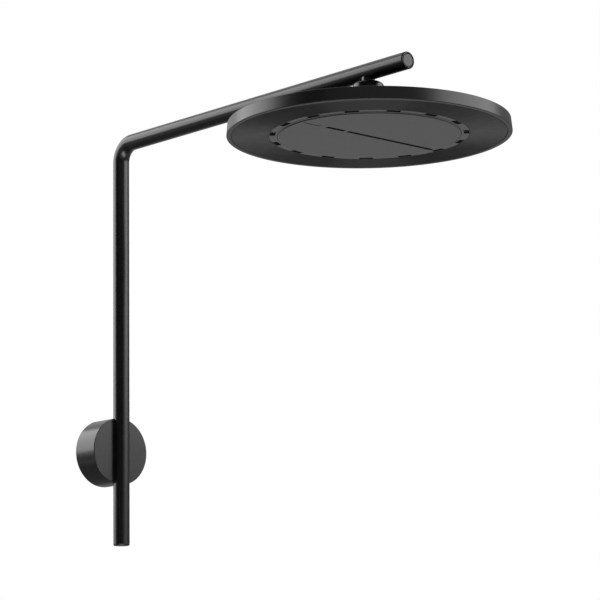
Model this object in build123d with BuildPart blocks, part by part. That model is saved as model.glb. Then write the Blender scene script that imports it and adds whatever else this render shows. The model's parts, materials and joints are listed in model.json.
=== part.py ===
from build123d import *
import os
from math import acos, asin, cos, degrees, radians, sin, sqrt

# Wall-mounted rain shower: a drum flange on the wall, one bent tube as riser and arm, a ball
# swivel under the arm, and a thin round rose with a ring of spray slots in its face.
# Millimetres. The origin is the centre of the flange on the wall plane, +Z is up, and the
# shower reaches out of the wall along -Y.

# Fits
fit = 0.1                   # radial clearance of plain and threaded fits
seam = 0.05                 # brazed seams and press fits
turning_gap = 0.3           # between the spherical faces of the swivel

# Riser and arm
tube_d = 19.0
tube_wall = 1.5
tube_proud = 1.5            # tube axis in front of the flange's face
riser_drop = 110.0          # flange centre down to the riser's lower end
arm_height = 366.0          # flange centre up to the arm's axis
arm_overhang = 61.0         # rose axis to the arm's free end
bend_radius = 22.0
tube_edge = 1.2             # rounding of the tube's ends

# Wall flange
flange_d = 78.0
flange_depth = 34.5
flange_wall = 3.2
flange_edge = 0.8
saddle_web = 2.5            # metal left behind the tube's saddle

# Wall plate and grub screws
plate_thickness = 6.0
plate_gap = 0.2
screw_hole_d = 5.5
screw_circle_d = 54.0
screw_count = 3
grub_d = 5.0
grub_length = 3.4
grub_depth = 3.4            # wall to the grub screws' axis
grub_angle = 24.0           # from the top of the flange, seen from the front, to the left
grub_groove = 1.0
grub_socket = 2.5           # hexagon across flats

# Water inlet
inlet_thread_d = 18.6
inlet_depth = 11.0
union_across_flats = 24.0
union_length = 15.0
spigot_d = 13.0
spigot_length = 10.5
water_d = 8.4
washer_thickness = 2.0
washer_relief = 0.6         # undercut at the end of the inlet thread
boss_d = 16.0
boss_gap = 1.5              # union's hexagon to the boss
inlet_hole_d = 10.4
lock_nut_across_flats = 22.0
lock_nut_thickness = 5.5
ring_groove = 1.4           # depth of the seal grooves in the water inlet
ring_pitch = 3.5

# Tube plugs
plug_gap = 0.7              # round the plug's face
plug_inset = 0.4
plug_face_depth = 2.0
plug_length = 12.0
plug_groove = 1.1

# Swivel
rose_reach = 460.0          # wall to the rose's axis
ball_d = 26.0
ball_cut = 2.5              # flat under the ball
neck_d = 14.0
saddle_d = 14.5
saddle_height = 1.3
shank_d = 8.2
stud_bore_d = 6.0
shank_length = 9.5
outlet_boss_d = 12.0
cross_hole_d = 4.0
stud_ring = 1.2             # thickness of the seal round the stud
seat_thickness = 1.6
liner_start = 7.0           # seat angles are above the ball's equator
liner_end = 40.0
seal_start = -50.0
seal_end = -5.0
nut_gap = 2.5               # nut's top to the arm's underside
mouth_gap = 3.7             # neck to the nut's mouth, for the tilt
mouth_flare = 0.4
nut_lip = 1.2               # socket's edge to the nut's top
nut_land = 1.1
nut_wall = 2.0
cup_wall = 1.6              # hub's socket wall at its rim
thread_gap = 0.2            # between nut and hub
nut_bore_depth = 2.3        # ball's centre down to the nut's inner shoulder
nut_skirt = 14.0            # ball's centre down to the nut's lower edge
nut_flat = 0.8              # depth of the two spanner flats
nut_flat_height = 8.0
dome_spare = 1.5            # dome's radius over the nut's

# Hub on the rose
hub_rise = 32.0             # rose's top to the ball's centre
hub_flange_d = 44.0
hub_flange_thickness = 3.5
hub_waist_d = 26.0
hub_collar_height = 4.3
hub_spigot_d = 22.0
hub_throat_d = 13.0
hub_spigot_wall = 2.5
hub_chamber_drop = 21.5     # ball's centre down to the roof of the wide bore
gasket_thickness = 0.6
regulator_thickness = 4.5
regulator_hole_d = 1.6
regulator_hole_count = 8
strainer_thickness = 2.0
strainer_rim = 1.2
strainer_mesh = 0.4

# Rose cover and outer face
rose_d = 305.0              # across the lower lip
rim_height = 14.0
rim_draft = 1.4             # smaller radius at the top
rim_wall = 3.0
lip_width = 5.2
lip_round = 1.6
top_round = 1.0
cover_wall = 2.0
ledge_width = 2.3
ledge_height = 2.0
face_gap = 0.6
face_thickness = 2.2
rib_gap = 1.0               # chamber's flange to the rib that takes its screws
rib_width = 4.0

# Spray ring, nozzles and centre plate
ring_lip_d = 200.8          # outside of the thin lip round the plate
ring_lip_width = 2.2
ring_recess = 0.15          # channel floor above the rose's lower lip
ring_lip = 0.5              # height of the thin lip
ring_thickness = 2.5
ring_gap = 0.4
slot_count = 15
slot_length = 15.0
slot_width = 5.8
slot_inset = 0.2            # thin lip to the slots
slot_wall = 0.25            # ring left outside the slots' corners
nozzle_length = 11.0
nozzle_width = 3.4
nozzle_drop = 1.8
nozzle_collar = 1.5
nozzle_collar_thickness = 1.2
nozzle_slit = 0.8
disc_gap = 0.4
disc_proud = 0.8            # below the rose's lower lip
disc_thickness = 2.8
disc_bevel = 1.4
disc_bevel_height = 0.6
groove_width = 5.0
groove_depth = 1.5
groove_faint_depth = 0.3
groove_faint_span = (-94.0, -70.5)
groove_spans = ((-62.0, -36.0), (-32.0, 95.0))
peg_d = 6.0
peg_circle_d = 120.0
peg_count = 4
grommet_wall = 1.0

# Water chamber
chamber_floor = 2.0
chamber_flange_width = 10.5
lid_gap = 1.0               # lid to the cover's roof
lid_thickness = 2.0
lid_neck_wall = 4.0
lid_wall = 2.0
lid_flange_thickness = 2.0
socket_wall = 2.0
socket_roof = 1.2
socket_gap = 0.4            # peg sockets to the lid
chamber_seal_width = 2.0
chamber_seal_depth = 1.2
chamber_seal_inset = 3.6    # lid's wall to the seal
chamber_screw_count = 6
chamber_screw_d = 2.8
chamber_screw_head_d = 5.6
chamber_screw_head = 1.6
chamber_screw_bite = 2.4    # thread in the rib

# Places that follow from these sizes
tube_r = tube_d / 2
bore_r = tube_r - tube_wall
tube_axis = flange_depth + tube_proud
flange_r = flange_d / 2
cup_depth = tube_axis - tube_r - saddle_web
plate_r = flange_r - flange_wall - plate_gap
arm_reach = rose_reach + arm_overhang
arm_underside = arm_height - tube_r
ball_r = ball_d / 2
seat_inner = ball_r + turning_gap
seat_outer = seat_inner + seat_thickness
socket_r = seat_outer + turning_gap
neck_r = neck_d / 2
throat_r = neck_r + mouth_gap
mouth_r = throat_r + mouth_flare
nut_rise = sqrt(socket_r**2 - throat_r**2) + nut_lip
hub_cup_r = socket_r + cup_wall
nut_bore_r = hub_cup_r + thread_gap
nut_r = nut_bore_r + nut_wall
ball_drop = nut_rise + nut_gap
ball_z = arm_underside - ball_drop
rose_top = ball_z - hub_rise
rose_base = rose_top - rim_height
rose_r = rose_d / 2
lip_inner_r = rose_r - lip_width
face_r = lip_inner_r - face_gap
ring_inner_r = ring_lip_d / 2 - ring_lip_width
slot_r = ring_lip_d / 2 + slot_inset + slot_width / 2
ring_outer_r = sqrt((slot_r + slot_width / 2)**2 + (slot_length / 2)**2) + slot_wall
face_inner_r = ring_outer_r + ring_gap
cover_roof = rim_height - cover_wall
ring_top = ring_recess + ring_thickness
floor_top = ring_top + chamber_floor
lid_under = cover_roof - lid_gap - lid_thickness
peg_length = lid_under - ring_top - socket_roof - socket_gap
chamber_r = face_inner_r + seam
flange_outer_r = chamber_r + chamber_flange_width
plug_seal_height = (plug_inset + plug_face_depth + plug_length) / 2

# Working planes: x is the radius, y the height over the named place
up_frame = {"x_dir": (1, 0, 0), "z_dir": (0, -1, 0)}
swivel = Plane(origin=(0, -rose_reach, ball_z), **up_frame)
rose = Plane(origin=(0, -rose_reach, rose_base), **up_frame)
rose_floor = Plane(origin=(0, -rose_reach, rose_base))
rose_axis = Axis((0, -rose_reach, 0), (0, 0, 1))
riser_end = Plane(origin=(0, -tube_axis, -riser_drop), **up_frame)
riser_axis = Axis((0, -tube_axis, 0), (0, 0, 1))
arm_end = Plane(origin=(0, -arm_reach, arm_height), x_dir=(1, 0, 0), z_dir=(0, 0, 1))
arm_axis = Axis((0, 0, arm_height), (0, 1, 0))


def turned(plane, axis, *points):
    """Solid of revolution of a straight-sided outline of (radius, height) points."""
    with BuildPart() as solid:
        with BuildSketch(plane):
            with BuildLine():
                Polyline(*points, close=True)
            make_face()
        revolve(axis=axis)
    return solid.part


def round_seal(plane, axis, inner_r, outer_r, *heights):
    """Eight-sided seal rings that fill the space between two radii."""
    section_r = (outer_r - inner_r) / 2 - seam
    with BuildPart() as ring:
        with BuildSketch(plane):
            with Locations(*[((inner_r + outer_r) / 2, height) for height in heights]):
                RegularPolygon(section_r, 8)
        revolve(axis=axis)
    return ring.part


def square_ring(plane, axis, inner_r, outer_r, *heights):
    """Square rings between two radii, which cut the grooves of the seals."""
    width = outer_r - inner_r + 2 * fit
    with BuildPart() as ring:
        with BuildSketch(plane):
            with Locations(*[(inner_r, height) for height in heights]):
                Rectangle(outer_r - inner_r + fit, width, align=(Align.MIN, Align.CENTER))
        revolve(axis=axis)
    return ring.part


def tube_plug(plane, axis):
    """Plug that closes an end of the tube, with a narrow inset face and a seal groove."""
    body_r = bore_r - fit
    body_start = plug_inset + plug_face_depth
    with BuildPart() as plug:
        add(turned(
            plane, axis,
            (0, plug_inset), (bore_r - plug_gap, plug_inset), (bore_r - plug_gap, body_start),
            (body_r, body_start), (body_r, plug_length), (0, plug_length),
        ))
        add(square_ring(plane, axis, bore_r - plug_groove, bore_r, plug_seal_height), mode=Mode.SUBTRACT)
    return plug.part


def seat_ring(start, end):
    """Ring between two spheres about the ball's centre."""
    with BuildPart() as ring:
        with BuildSketch(swivel):
            with BuildLine():
                inner = CenterArc((0, 0), seat_inner, start, end - start)
                outer = CenterArc((0, 0), seat_outer, start, end - start)
                Line(inner @ 0, outer @ 0)
                Line(inner @ 1, outer @ 1)
            make_face()
        revolve(axis=rose_axis)
    return ring.part


# Wall plate, screwed to the wall behind the flange
union_corner_r = union_across_flats / 2 / cos(radians(30))
with BuildPart() as wall_plate:
    with BuildSketch(Plane.XZ):
        Circle(plate_r)
        Circle(union_corner_r + plate_gap, mode=Mode.SUBTRACT)
        with PolarLocations(screw_circle_d / 2, screw_count, start_angle=90):
            Circle(screw_hole_d / 2, mode=Mode.SUBTRACT)
    extrude(amount=plate_thickness)
    with BuildSketch(Plane.XY):
        with Locations((plate_r, -grub_depth)):
            Rectangle(2 * grub_groove, grub_d / 2 + 2 * fit)
    revolve(axis=Axis.Y, mode=Mode.SUBTRACT)

# Drum flange with a saddle for the riser across its face
grub_planes = [
    Plane(origin=(0, -grub_depth, 0), z_dir=(-sin(radians(a)), 0, cos(radians(a))))
    for a in (grub_angle, grub_angle + 180)
]
with BuildPart() as wall_flange:
    with BuildSketch(Plane.XY):
        with BuildLine():
            Polyline(
                (0, -cup_depth), (flange_r - flange_wall, -cup_depth), (flange_r - flange_wall, 0),
                (flange_r, 0), (flange_r, -flange_depth), (0, -flange_depth), close=True,
            )
        make_face()
    revolve(axis=Axis.Y)
    fillet(wall_flange.edges().group_by(Axis.Y)[0], flange_edge)
    with BuildSketch(Plane.XY.offset(-flange_r)):
        with Locations((0, -tube_axis)):
            Circle(tube_r + fit)
    extrude(amount=flange_d, mode=Mode.SUBTRACT)
    with BuildSketch(Plane.XZ.offset(cup_depth)):
        Circle(boss_d / 2 + fit)
    extrude(amount=flange_depth - cup_depth, mode=Mode.SUBTRACT)
    with BuildSketch(*grub_planes):
        Circle(grub_d / 2 + fit)
    extrude(amount=flange_r, mode=Mode.SUBTRACT)

# Grub screws with a dog point, which lock the flange on the wall plate
point_r = grub_d / 4
grub_seat = plate_r - grub_groove
point_length = grub_groove + plate_gap
socket_depth = (grub_length - point_length) / 2
with BuildPart() as flange_grub_screws:
    with BuildSketch(*[plane.offset(grub_seat) for plane in grub_planes]):
        Circle(point_r)
    extrude(amount=grub_length)
    with BuildSketch(*[plane.offset(grub_seat + point_length) for plane in grub_planes]):
        Circle(grub_d / 2)
    extrude(amount=grub_length - point_length)
    with BuildSketch(*[plane.offset(grub_seat + grub_length - socket_depth) for plane in grub_planes]):
        RegularPolygon(grub_socket / 2, 6, major_radius=False)
    extrude(amount=socket_depth, mode=Mode.SUBTRACT)

# Inlet union: threaded socket for the pipe in the wall, and a sealed spigot
spigot_r = spigot_d / 2
spigot_end = union_length + spigot_length
spigot_seals = [-union_length - spigot_length / 2 + side * ring_pitch / 2 for side in (-1, 1)]
seal_inner_r = spigot_r + fit - ring_groove
with BuildPart() as inlet_union:
    with BuildSketch(Plane.XZ):
        RegularPolygon(union_across_flats / 2, 6, major_radius=False)
    extrude(amount=union_length)
    with BuildSketch(Plane.XZ.offset(union_length)):
        Circle(spigot_r)
    extrude(amount=spigot_length)
    with BuildSketch(Plane.XZ):
        Circle(water_d / 2)
    extrude(amount=spigot_end, mode=Mode.SUBTRACT)
    with BuildSketch(Plane.XZ):
        Circle(inlet_thread_d / 2)
    extrude(amount=inlet_depth, mode=Mode.SUBTRACT)
    with BuildSketch(Plane.XZ.offset(inlet_depth)):
        Circle(inlet_thread_d / 2 + washer_relief)
    extrude(amount=washer_thickness, mode=Mode.SUBTRACT)
    add(square_ring(Plane.XY, Axis.Y, seal_inner_r, spigot_r + fit, *spigot_seals), mode=Mode.SUBTRACT)

with BuildPart() as inlet_o_rings:
    add(round_seal(Plane.XY, Axis.Y, seal_inner_r, spigot_r + fit, *spigot_seals))

with BuildPart() as inlet_washer:
    with BuildSketch(Plane.XZ.offset(inlet_depth)):
        Circle(inlet_thread_d / 2 + washer_relief - fit)
        Circle(water_d / 2, mode=Mode.SUBTRACT)
    extrude(amount=washer_thickness)

# Boss brazed to the back of the riser, which slides over the union's spigot
boss_start = union_length + boss_gap
with BuildPart() as arm_inlet_boss:
    with BuildSketch(Plane.XZ.offset(boss_start)):
        Circle(boss_d / 2)
    extrude(amount=tube_axis - boss_start)
    with BuildSketch(Plane.XZ.offset(boss_start)):
        Circle(inlet_hole_d / 2)
    extrude(amount=tube_axis - boss_start, mode=Mode.SUBTRACT)
    with BuildSketch(Plane.XZ.offset(boss_start)):
        Circle(spigot_r + fit)
    extrude(amount=spigot_end + fit - boss_start, mode=Mode.SUBTRACT)
    with BuildSketch(Plane.XY.offset(-boss_d)):
        with Locations((0, -tube_axis)):
            Circle(tube_r + seam)
    extrude(amount=2 * boss_d, mode=Mode.SUBTRACT)

# Lock nut that holds the riser to the flange from inside
with BuildPart() as arm_lock_nut:
    with BuildSketch(Plane.XZ.offset(cup_depth - lock_nut_thickness)):
        RegularPolygon(lock_nut_across_flats / 2, 6, major_radius=False)
        Circle(boss_d / 2 + fit, mode=Mode.SUBTRACT)
    extrude(amount=lock_nut_thickness)

# Riser and arm, one bent tube
with BuildPart() as shower_arm:
    with BuildLine():
        FilletPolyline(
            (0, -tube_axis, -riser_drop), (0, -tube_axis, arm_height), (0, -arm_reach, arm_height),
            radius=bend_radius,
        )
    with BuildSketch(Plane(origin=(0, -tube_axis, -riser_drop))):
        Circle(tube_r)
        Circle(bore_r, mode=Mode.SUBTRACT)
    sweep()
    tube_rims = shower_arm.edges().filter_by(GeomType.CIRCLE)
    lower_rim = tube_rims.group_by(Axis.Z)[0].sort_by(SortBy.RADIUS)[-1]
    free_rim = tube_rims.group_by(Axis.Y)[0].sort_by(SortBy.RADIUS)[-1]
    fillet([lower_rim, free_rim], tube_edge)
    with BuildSketch(Plane.XZ.offset(tube_axis - tube_d)):
        Circle(inlet_hole_d / 2)
    extrude(amount=tube_d, mode=Mode.SUBTRACT)
    with BuildSketch(Plane(origin=(0, -rose_reach, arm_height - tube_d))):
        Circle(shank_d / 2 + fit)
    extrude(amount=tube_d, mode=Mode.SUBTRACT)

# Plugs and seals in the tube's two ends
with BuildPart() as riser_end_plug:
    add(tube_plug(riser_end, riser_axis))

with BuildPart() as riser_plug_o_ring:
    add(round_seal(riser_end, riser_axis, bore_r - plug_groove, bore_r, plug_seal_height))

with BuildPart() as arm_end_cap:
    add(tube_plug(arm_end, arm_axis))

with BuildPart() as arm_cap_o_ring:
    add(round_seal(arm_end, arm_axis, bore_r - plug_groove, bore_r, plug_seal_height))

# Threaded boss brazed inside the arm, with a cross hole for the water
shank_r = shank_d / 2
shank_end = arm_underside + shank_length
boss_roof = arm_height + bore_r - tube_wall
with BuildPart() as arm_outlet_boss:
    with BuildSketch(Plane(origin=(0, -rose_reach, arm_height - bore_r))):
        Circle(outlet_boss_d / 2)
    extrude(amount=2 * bore_r)
    with BuildSketch(Plane.XZ.offset(rose_reach - outlet_boss_d)):
        with Locations((0, arm_height)):
            Circle(bore_r - seam)
    extrude(amount=2 * outlet_boss_d, mode=Mode.INTERSECT)
    with BuildSketch(Plane(origin=(0, -rose_reach, arm_height - bore_r))):
        Circle(shank_r + seam)
    extrude(amount=boss_roof - arm_height + bore_r, mode=Mode.SUBTRACT)
    with BuildSketch(Plane.XZ.offset(rose_reach - outlet_boss_d)):
        with Locations((0, (shank_end + boss_roof) / 2)):
            Circle(cross_hole_d / 2)
    extrude(amount=2 * outlet_boss_d, mode=Mode.SUBTRACT)

# Saddle collar between the arm and the ball stud
saddle_base = arm_underside - saddle_height
saddle_bore_r = shank_r + stud_ring + seam
with BuildPart() as neck_saddle:
    with BuildSketch(Plane(origin=(0, -rose_reach, saddle_base))):
        Circle(saddle_d / 2)
        Circle(saddle_bore_r, mode=Mode.SUBTRACT)
    extrude(amount=tube_r)
    with BuildSketch(Plane.XZ.offset(rose_reach - saddle_d)):
        with Locations((0, arm_height)):
            Circle(tube_r + seam)
    extrude(amount=2 * saddle_d, mode=Mode.SUBTRACT)

with BuildPart() as stud_o_ring:
    add(round_seal(swivel, rose_axis, shank_r, saddle_bore_r, ball_drop - saddle_height / 2))

# Ball stud: hollow ball, neck and threaded shank
stud_shoulder = ball_drop - saddle_height
shank_top = ball_drop + shank_length
ball_flat = ball_r - ball_cut
flat_angle = -degrees(asin(ball_flat / ball_r))
neck_angle = degrees(acos(neck_r / ball_r))
with BuildPart() as ball_stud:
    with BuildSketch(swivel):
        with BuildLine():
            sphere = CenterArc((0, 0), ball_r, flat_angle, neck_angle - flat_angle)
            Polyline(
                sphere @ 1, (neck_r, stud_shoulder), (shank_r, stud_shoulder), (shank_r, shank_top),
                (stud_bore_d / 2, shank_top), (stud_bore_d / 2, -ball_flat), sphere @ 0,
            )
        make_face()
    revolve(axis=rose_axis)

# Seat rings above and below the ball's equator
with BuildPart() as ball_liner:
    add(seat_ring(liner_start, liner_end))

with BuildPart() as ball_seal:
    add(seat_ring(seal_start, seal_end))

# Swivel nut with a domed top and a mouth for the neck
dome_top_r = mouth_r + nut_land
dome_radius = nut_r + dome_spare
dome_centre = nut_rise - sqrt(dome_radius**2 - dome_top_r**2)
dome_start = degrees(acos(nut_r / dome_radius))
dome_size = degrees(acos(dome_top_r / dome_radius)) - dome_start
mouth_angle = degrees(acos(throat_r / socket_r))
with BuildPart() as swivel_nut:
    with BuildSketch(swivel):
        with BuildLine():
            dome = CenterArc((0, dome_centre), dome_radius, dome_start, dome_size)
            socket = CenterArc((0, 0), socket_r, 0, mouth_angle)
            Polyline(dome @ 1, (mouth_r, nut_rise), socket @ 1)
            Polyline(
                dome @ 0, (nut_r, -nut_skirt), (nut_bore_r, -nut_skirt),
                (nut_bore_r, -nut_bore_depth), (socket_r, -nut_bore_depth), socket @ 0,
            )
        make_face()
    revolve(axis=rose_axis)
    with BuildSketch(Plane(origin=(0, -rose_reach, ball_z - nut_skirt))):
        with Locations((nut_r, 0), (-nut_r, 0)):
            Rectangle(2 * nut_flat, 2 * nut_r)
    extrude(amount=nut_flat_height, mode=Mode.SUBTRACT)

# Hub: socket for the ball's lower half, screwed into the water chamber
cup_rim = nut_bore_depth + thread_gap
rim_angle = -degrees(asin(cup_rim / socket_r))
throat_angle = -degrees(acos(hub_throat_d / 2 / socket_r))
collar_top = -nut_skirt - thread_gap
collar_base = collar_top - hub_collar_height
hub_base = -hub_rise + gasket_thickness
hub_flange_top = hub_base + hub_flange_thickness
hub_taper = collar_base - hub_flange_top
spigot_base = rose_base + lid_under - ball_z
hub_spigot_r = hub_spigot_d / 2
hub_chamber_r = hub_spigot_r - hub_spigot_wall
hub_seal_r = hub_spigot_r + fit - plug_groove
hub_seal_height = (spigot_base - hub_rise - cover_wall) / 2
with BuildPart() as rose_hub:
    with BuildSketch(swivel):
        with BuildLine():
            cup = CenterArc((0, 0), socket_r, throat_angle, rim_angle - throat_angle)
            Polyline(
                cup @ 1, (hub_cup_r, -cup_rim), (hub_cup_r, collar_top), (nut_r, collar_top),
                (nut_r, collar_base), (hub_waist_d / 2, collar_base - hub_taper * 0.6),
                (hub_waist_d / 2, hub_flange_top + hub_taper * 0.2),
                (hub_flange_d / 2, hub_flange_top), (hub_flange_d / 2, hub_base),
                (hub_spigot_r, hub_base), (hub_spigot_r, spigot_base),
                (hub_chamber_r, spigot_base), (hub_chamber_r, -hub_chamber_drop),
                (hub_throat_d / 2, -hub_chamber_drop), cup @ 0,
            )
        make_face()
    revolve(axis=rose_axis)
    add(square_ring(swivel, rose_axis, hub_seal_r, hub_spigot_r + fit, hub_seal_height), mode=Mode.SUBTRACT)

with BuildPart() as hub_o_ring:
    add(round_seal(swivel, rose_axis, hub_seal_r, hub_spigot_r + fit, hub_seal_height))

with BuildPart() as hub_gasket:
    with BuildSketch(Plane(origin=(0, -rose_reach, rose_top))):
        Circle(hub_flange_d / 2 - fit)
        Circle(hub_spigot_r + fit, mode=Mode.SUBTRACT)
    extrude(amount=gasket_thickness)

# Strainer and flow regulator, pressed into the hub from below
cartridge_r = hub_chamber_r - seam
strainer_base = -hub_chamber_drop - strainer_thickness
mesh_top = strainer_base + strainer_mesh
mesh_r = cartridge_r - strainer_rim
with BuildPart() as strainer:
    add(turned(
        swivel, rose_axis,
        (0, strainer_base), (cartridge_r, strainer_base), (cartridge_r, -hub_chamber_drop),
        (mesh_r, -hub_chamber_drop), (mesh_r, mesh_top), (0, mesh_top),
    ))

with BuildPart() as flow_regulator:
    with BuildSketch(Plane(origin=(0, -rose_reach, ball_z + strainer_base - regulator_thickness))):
        Circle(cartridge_r)
        with PolarLocations(cartridge_r / 2, regulator_hole_count):
            Circle(regulator_hole_d / 2, mode=Mode.SUBTRACT)
    extrude(amount=regulator_thickness)

# Rose cover: shallow pan with a slightly flared rim and a rounded lip
rim_top_r = rose_r - rim_draft
ledge_top = face_thickness + ledge_height
with BuildPart() as rose_cover:
    with BuildSketch(rose):
        with BuildLine():
            Polyline(
                (hub_spigot_r + fit, rim_height), (rim_top_r, rim_height), (rose_r, 0),
                (lip_inner_r, 0), (lip_inner_r, face_thickness),
                (lip_inner_r - ledge_width, face_thickness), (lip_inner_r - ledge_width, ledge_top),
                (rim_top_r - rim_wall, ledge_top), (rim_top_r - rim_wall, cover_roof),
                (hub_spigot_r + fit, cover_roof), close=True,
            )
        make_face()
    revolve(axis=rose_axis)
    fillet(rose_cover.edges().group_by(Axis.Z)[0].sort_by(SortBy.RADIUS)[-1], lip_round)
    fillet(rose_cover.edges().group_by(Axis.Z)[-1].sort_by(SortBy.RADIUS)[-1], top_round)

# Outer face ring, with a rib that takes the chamber screws
rib_inner_r = flange_outer_r + rib_gap
rib_outer_r = rib_inner_r + rib_width
screw_r = (rib_inner_r + rib_outer_r) / 2
with BuildPart() as rose_face:
    add(turned(
        rose, rose_axis,
        (face_inner_r, 0), (face_r, 0), (face_r, face_thickness), (rib_outer_r, face_thickness),
        (rib_outer_r, floor_top), (rib_inner_r, floor_top), (rib_inner_r, face_thickness),
        (face_inner_r, face_thickness),
    ))
    with BuildSketch(rose_floor.offset(floor_top)):
        with PolarLocations(screw_r, chamber_screw_count):
            Circle(chamber_screw_d / 2 + seam)
    extrude(amount=-chamber_screw_bite, mode=Mode.SUBTRACT)

# Spray ring with its slots, and a thin lip round the centre plate
ring_lip_r = ring_lip_d / 2
lip_base = ring_recess - ring_lip
with BuildPart() as spray_ring:
    add(turned(
        rose, rose_axis,
        (ring_inner_r, lip_base), (ring_lip_r, lip_base), (ring_lip_r, ring_recess),
        (ring_outer_r, ring_recess), (ring_outer_r, ring_top), (ring_inner_r, ring_top),
    ))
    with BuildSketch(rose_floor.offset(ring_recess)):
        with PolarLocations(slot_r, slot_count):
            Rectangle(slot_width, slot_length)
    extrude(amount=ring_thickness, mode=Mode.SUBTRACT)

# Chamber floor: a disc that carries the nozzles, the spray ring and the centre plate
socket_d = peg_d + 2 * grommet_wall
socket_top = ring_top + peg_length
with BuildPart() as chamber_base:
    with BuildSketch(rose):
        with BuildLine():
            Polyline(
                (0, ring_top), (chamber_r, ring_top), (chamber_r, face_thickness),
                (flange_outer_r, face_thickness), (flange_outer_r, floor_top), (0, floor_top), close=True,
            )
        make_face()
    revolve(axis=rose_axis)
    with BuildSketch(rose_floor.offset(floor_top)):
        with PolarLocations(peg_circle_d / 2, peg_count):
            Circle(socket_d / 2 + socket_wall)
    extrude(amount=socket_top + socket_roof - floor_top)
    with BuildSketch(rose_floor.offset(ring_top)):
        with PolarLocations(peg_circle_d / 2, peg_count):
            Circle(socket_d / 2 + seam)
    extrude(amount=peg_length, mode=Mode.SUBTRACT)
    with BuildSketch(rose_floor.offset(ring_top)):
        with PolarLocations(slot_r, slot_count):
            Rectangle(nozzle_width, nozzle_length)
    extrude(amount=chamber_floor, mode=Mode.SUBTRACT)

# Soft nozzles, each with a collar inside the chamber and a slit in its tip
with BuildPart() as nozzles:
    with BuildSketch(rose_floor.offset(ring_top - nozzle_drop)):
        with PolarLocations(slot_r, slot_count):
            Rectangle(nozzle_width - 2 * fit, nozzle_length - 2 * fit)
    extrude(amount=nozzle_drop + chamber_floor)
    with BuildSketch(rose_floor.offset(floor_top)):
        with PolarLocations(slot_r, slot_count):
            Rectangle(nozzle_width + 2 * nozzle_collar, nozzle_length + 2 * nozzle_collar)
    extrude(amount=nozzle_collar_thickness)
    with BuildSketch(rose_floor.offset(ring_top - nozzle_drop)):
        with PolarLocations(slot_r, slot_count):
            Rectangle(nozzle_slit, nozzle_length - nozzle_width)
    extrude(amount=nozzle_drop + chamber_floor + nozzle_collar_thickness, mode=Mode.SUBTRACT)

# Centre plate with a bevelled edge, a cross groove in its face and pegs behind
disc_r = ring_inner_r - disc_gap
disc_top = disc_thickness - disc_proud
with BuildPart() as centre_plate:
    add(turned(
        rose, rose_axis,
        (0, -disc_proud), (disc_r - disc_bevel, -disc_proud), (disc_r, disc_bevel_height - disc_proud),
        (disc_r, disc_top), (0, disc_top),
    ))
    with BuildSketch(rose_floor.offset(-disc_proud)):
        for start, end in groove_spans:
            with Locations(((start + end) / 2, 0)):
                Rectangle(end - start, groove_width)
    extrude(amount=groove_depth, mode=Mode.SUBTRACT)
    with BuildSketch(rose_floor.offset(-disc_proud)):
        with Locations((sum(groove_faint_span) / 2, 0)):
            Rectangle(groove_faint_span[1] - groove_faint_span[0], groove_width)
    extrude(amount=groove_faint_depth, mode=Mode.SUBTRACT)
    with BuildSketch(rose_floor.offset(disc_top)):
        with PolarLocations(peg_circle_d / 2, peg_count):
            Circle(peg_d / 2)
    extrude(amount=ring_top - disc_top + peg_length - fit)

# Grommets that hold the plate's pegs in their sockets
with BuildPart() as plate_grommets:
    with BuildSketch(rose_floor.offset(disc_top)):
        with PolarLocations(peg_circle_d / 2, peg_count):
            Circle(socket_d / 2)
            Circle(peg_d / 2 + seam, mode=Mode.SUBTRACT)
    extrude(amount=ring_top - disc_top + peg_length - fit)
    with BuildSketch(rose_floor.offset(disc_top)):
        with PolarLocations(peg_circle_d / 2, peg_count):
            Circle(socket_d / 2 + grommet_wall)
            Circle(peg_d / 2 + seam, mode=Mode.SUBTRACT)
    extrude(amount=ring_top - disc_top)

# Chamber lid: shallow cover with a threaded neck for the hub and a seal groove
lid_top = lid_under + lid_thickness
lid_flange_top = floor_top + lid_flange_thickness
lid_r = chamber_r + lid_wall
neck_bore_r = hub_spigot_r + fit
seal_r = lid_r + chamber_seal_inset
with BuildPart() as chamber_lid:
    add(turned(
        rose, rose_axis,
        (neck_bore_r, lid_under), (chamber_r, lid_under), (chamber_r, floor_top), (rib_outer_r, floor_top),
        (rib_outer_r, lid_flange_top), (lid_r, lid_flange_top), (lid_r, lid_top),
        (neck_bore_r + lid_neck_wall, lid_top), (neck_bore_r + lid_neck_wall, cover_roof),
        (neck_bore_r, cover_roof),
    ))
    with BuildSketch(rose):
        with Locations((seal_r, floor_top)):
            Rectangle(chamber_seal_width, 2 * chamber_seal_depth)
    revolve(axis=rose_axis, mode=Mode.SUBTRACT)
    with BuildSketch(rose_floor.offset(floor_top)):
        with PolarLocations(screw_r, chamber_screw_count):
            Circle(chamber_screw_d / 2 + fit)
    extrude(amount=lid_flange_thickness, mode=Mode.SUBTRACT)

seal_reach = chamber_seal_width / 2 - seam
seal_top = floor_top + chamber_seal_depth - seam
with BuildPart() as chamber_seal:
    add(turned(
        rose, rose_axis,
        (seal_r - seal_reach, floor_top), (seal_r + seal_reach, floor_top),
        (seal_r + seal_reach, seal_top), (seal_r - seal_reach, seal_top),
    ))

with BuildPart() as chamber_screws:
    with BuildSketch(rose_floor.offset(floor_top - chamber_screw_bite)):
        with PolarLocations(screw_r, chamber_screw_count):
            Circle(chamber_screw_d / 2)
    extrude(amount=chamber_screw_bite + lid_flange_thickness)
    with BuildSketch(rose_floor.offset(lid_flange_top)):
        with PolarLocations(screw_r, chamber_screw_count):
            Circle(chamber_screw_head_d / 2)
    extrude(amount=chamber_screw_head)

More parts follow.
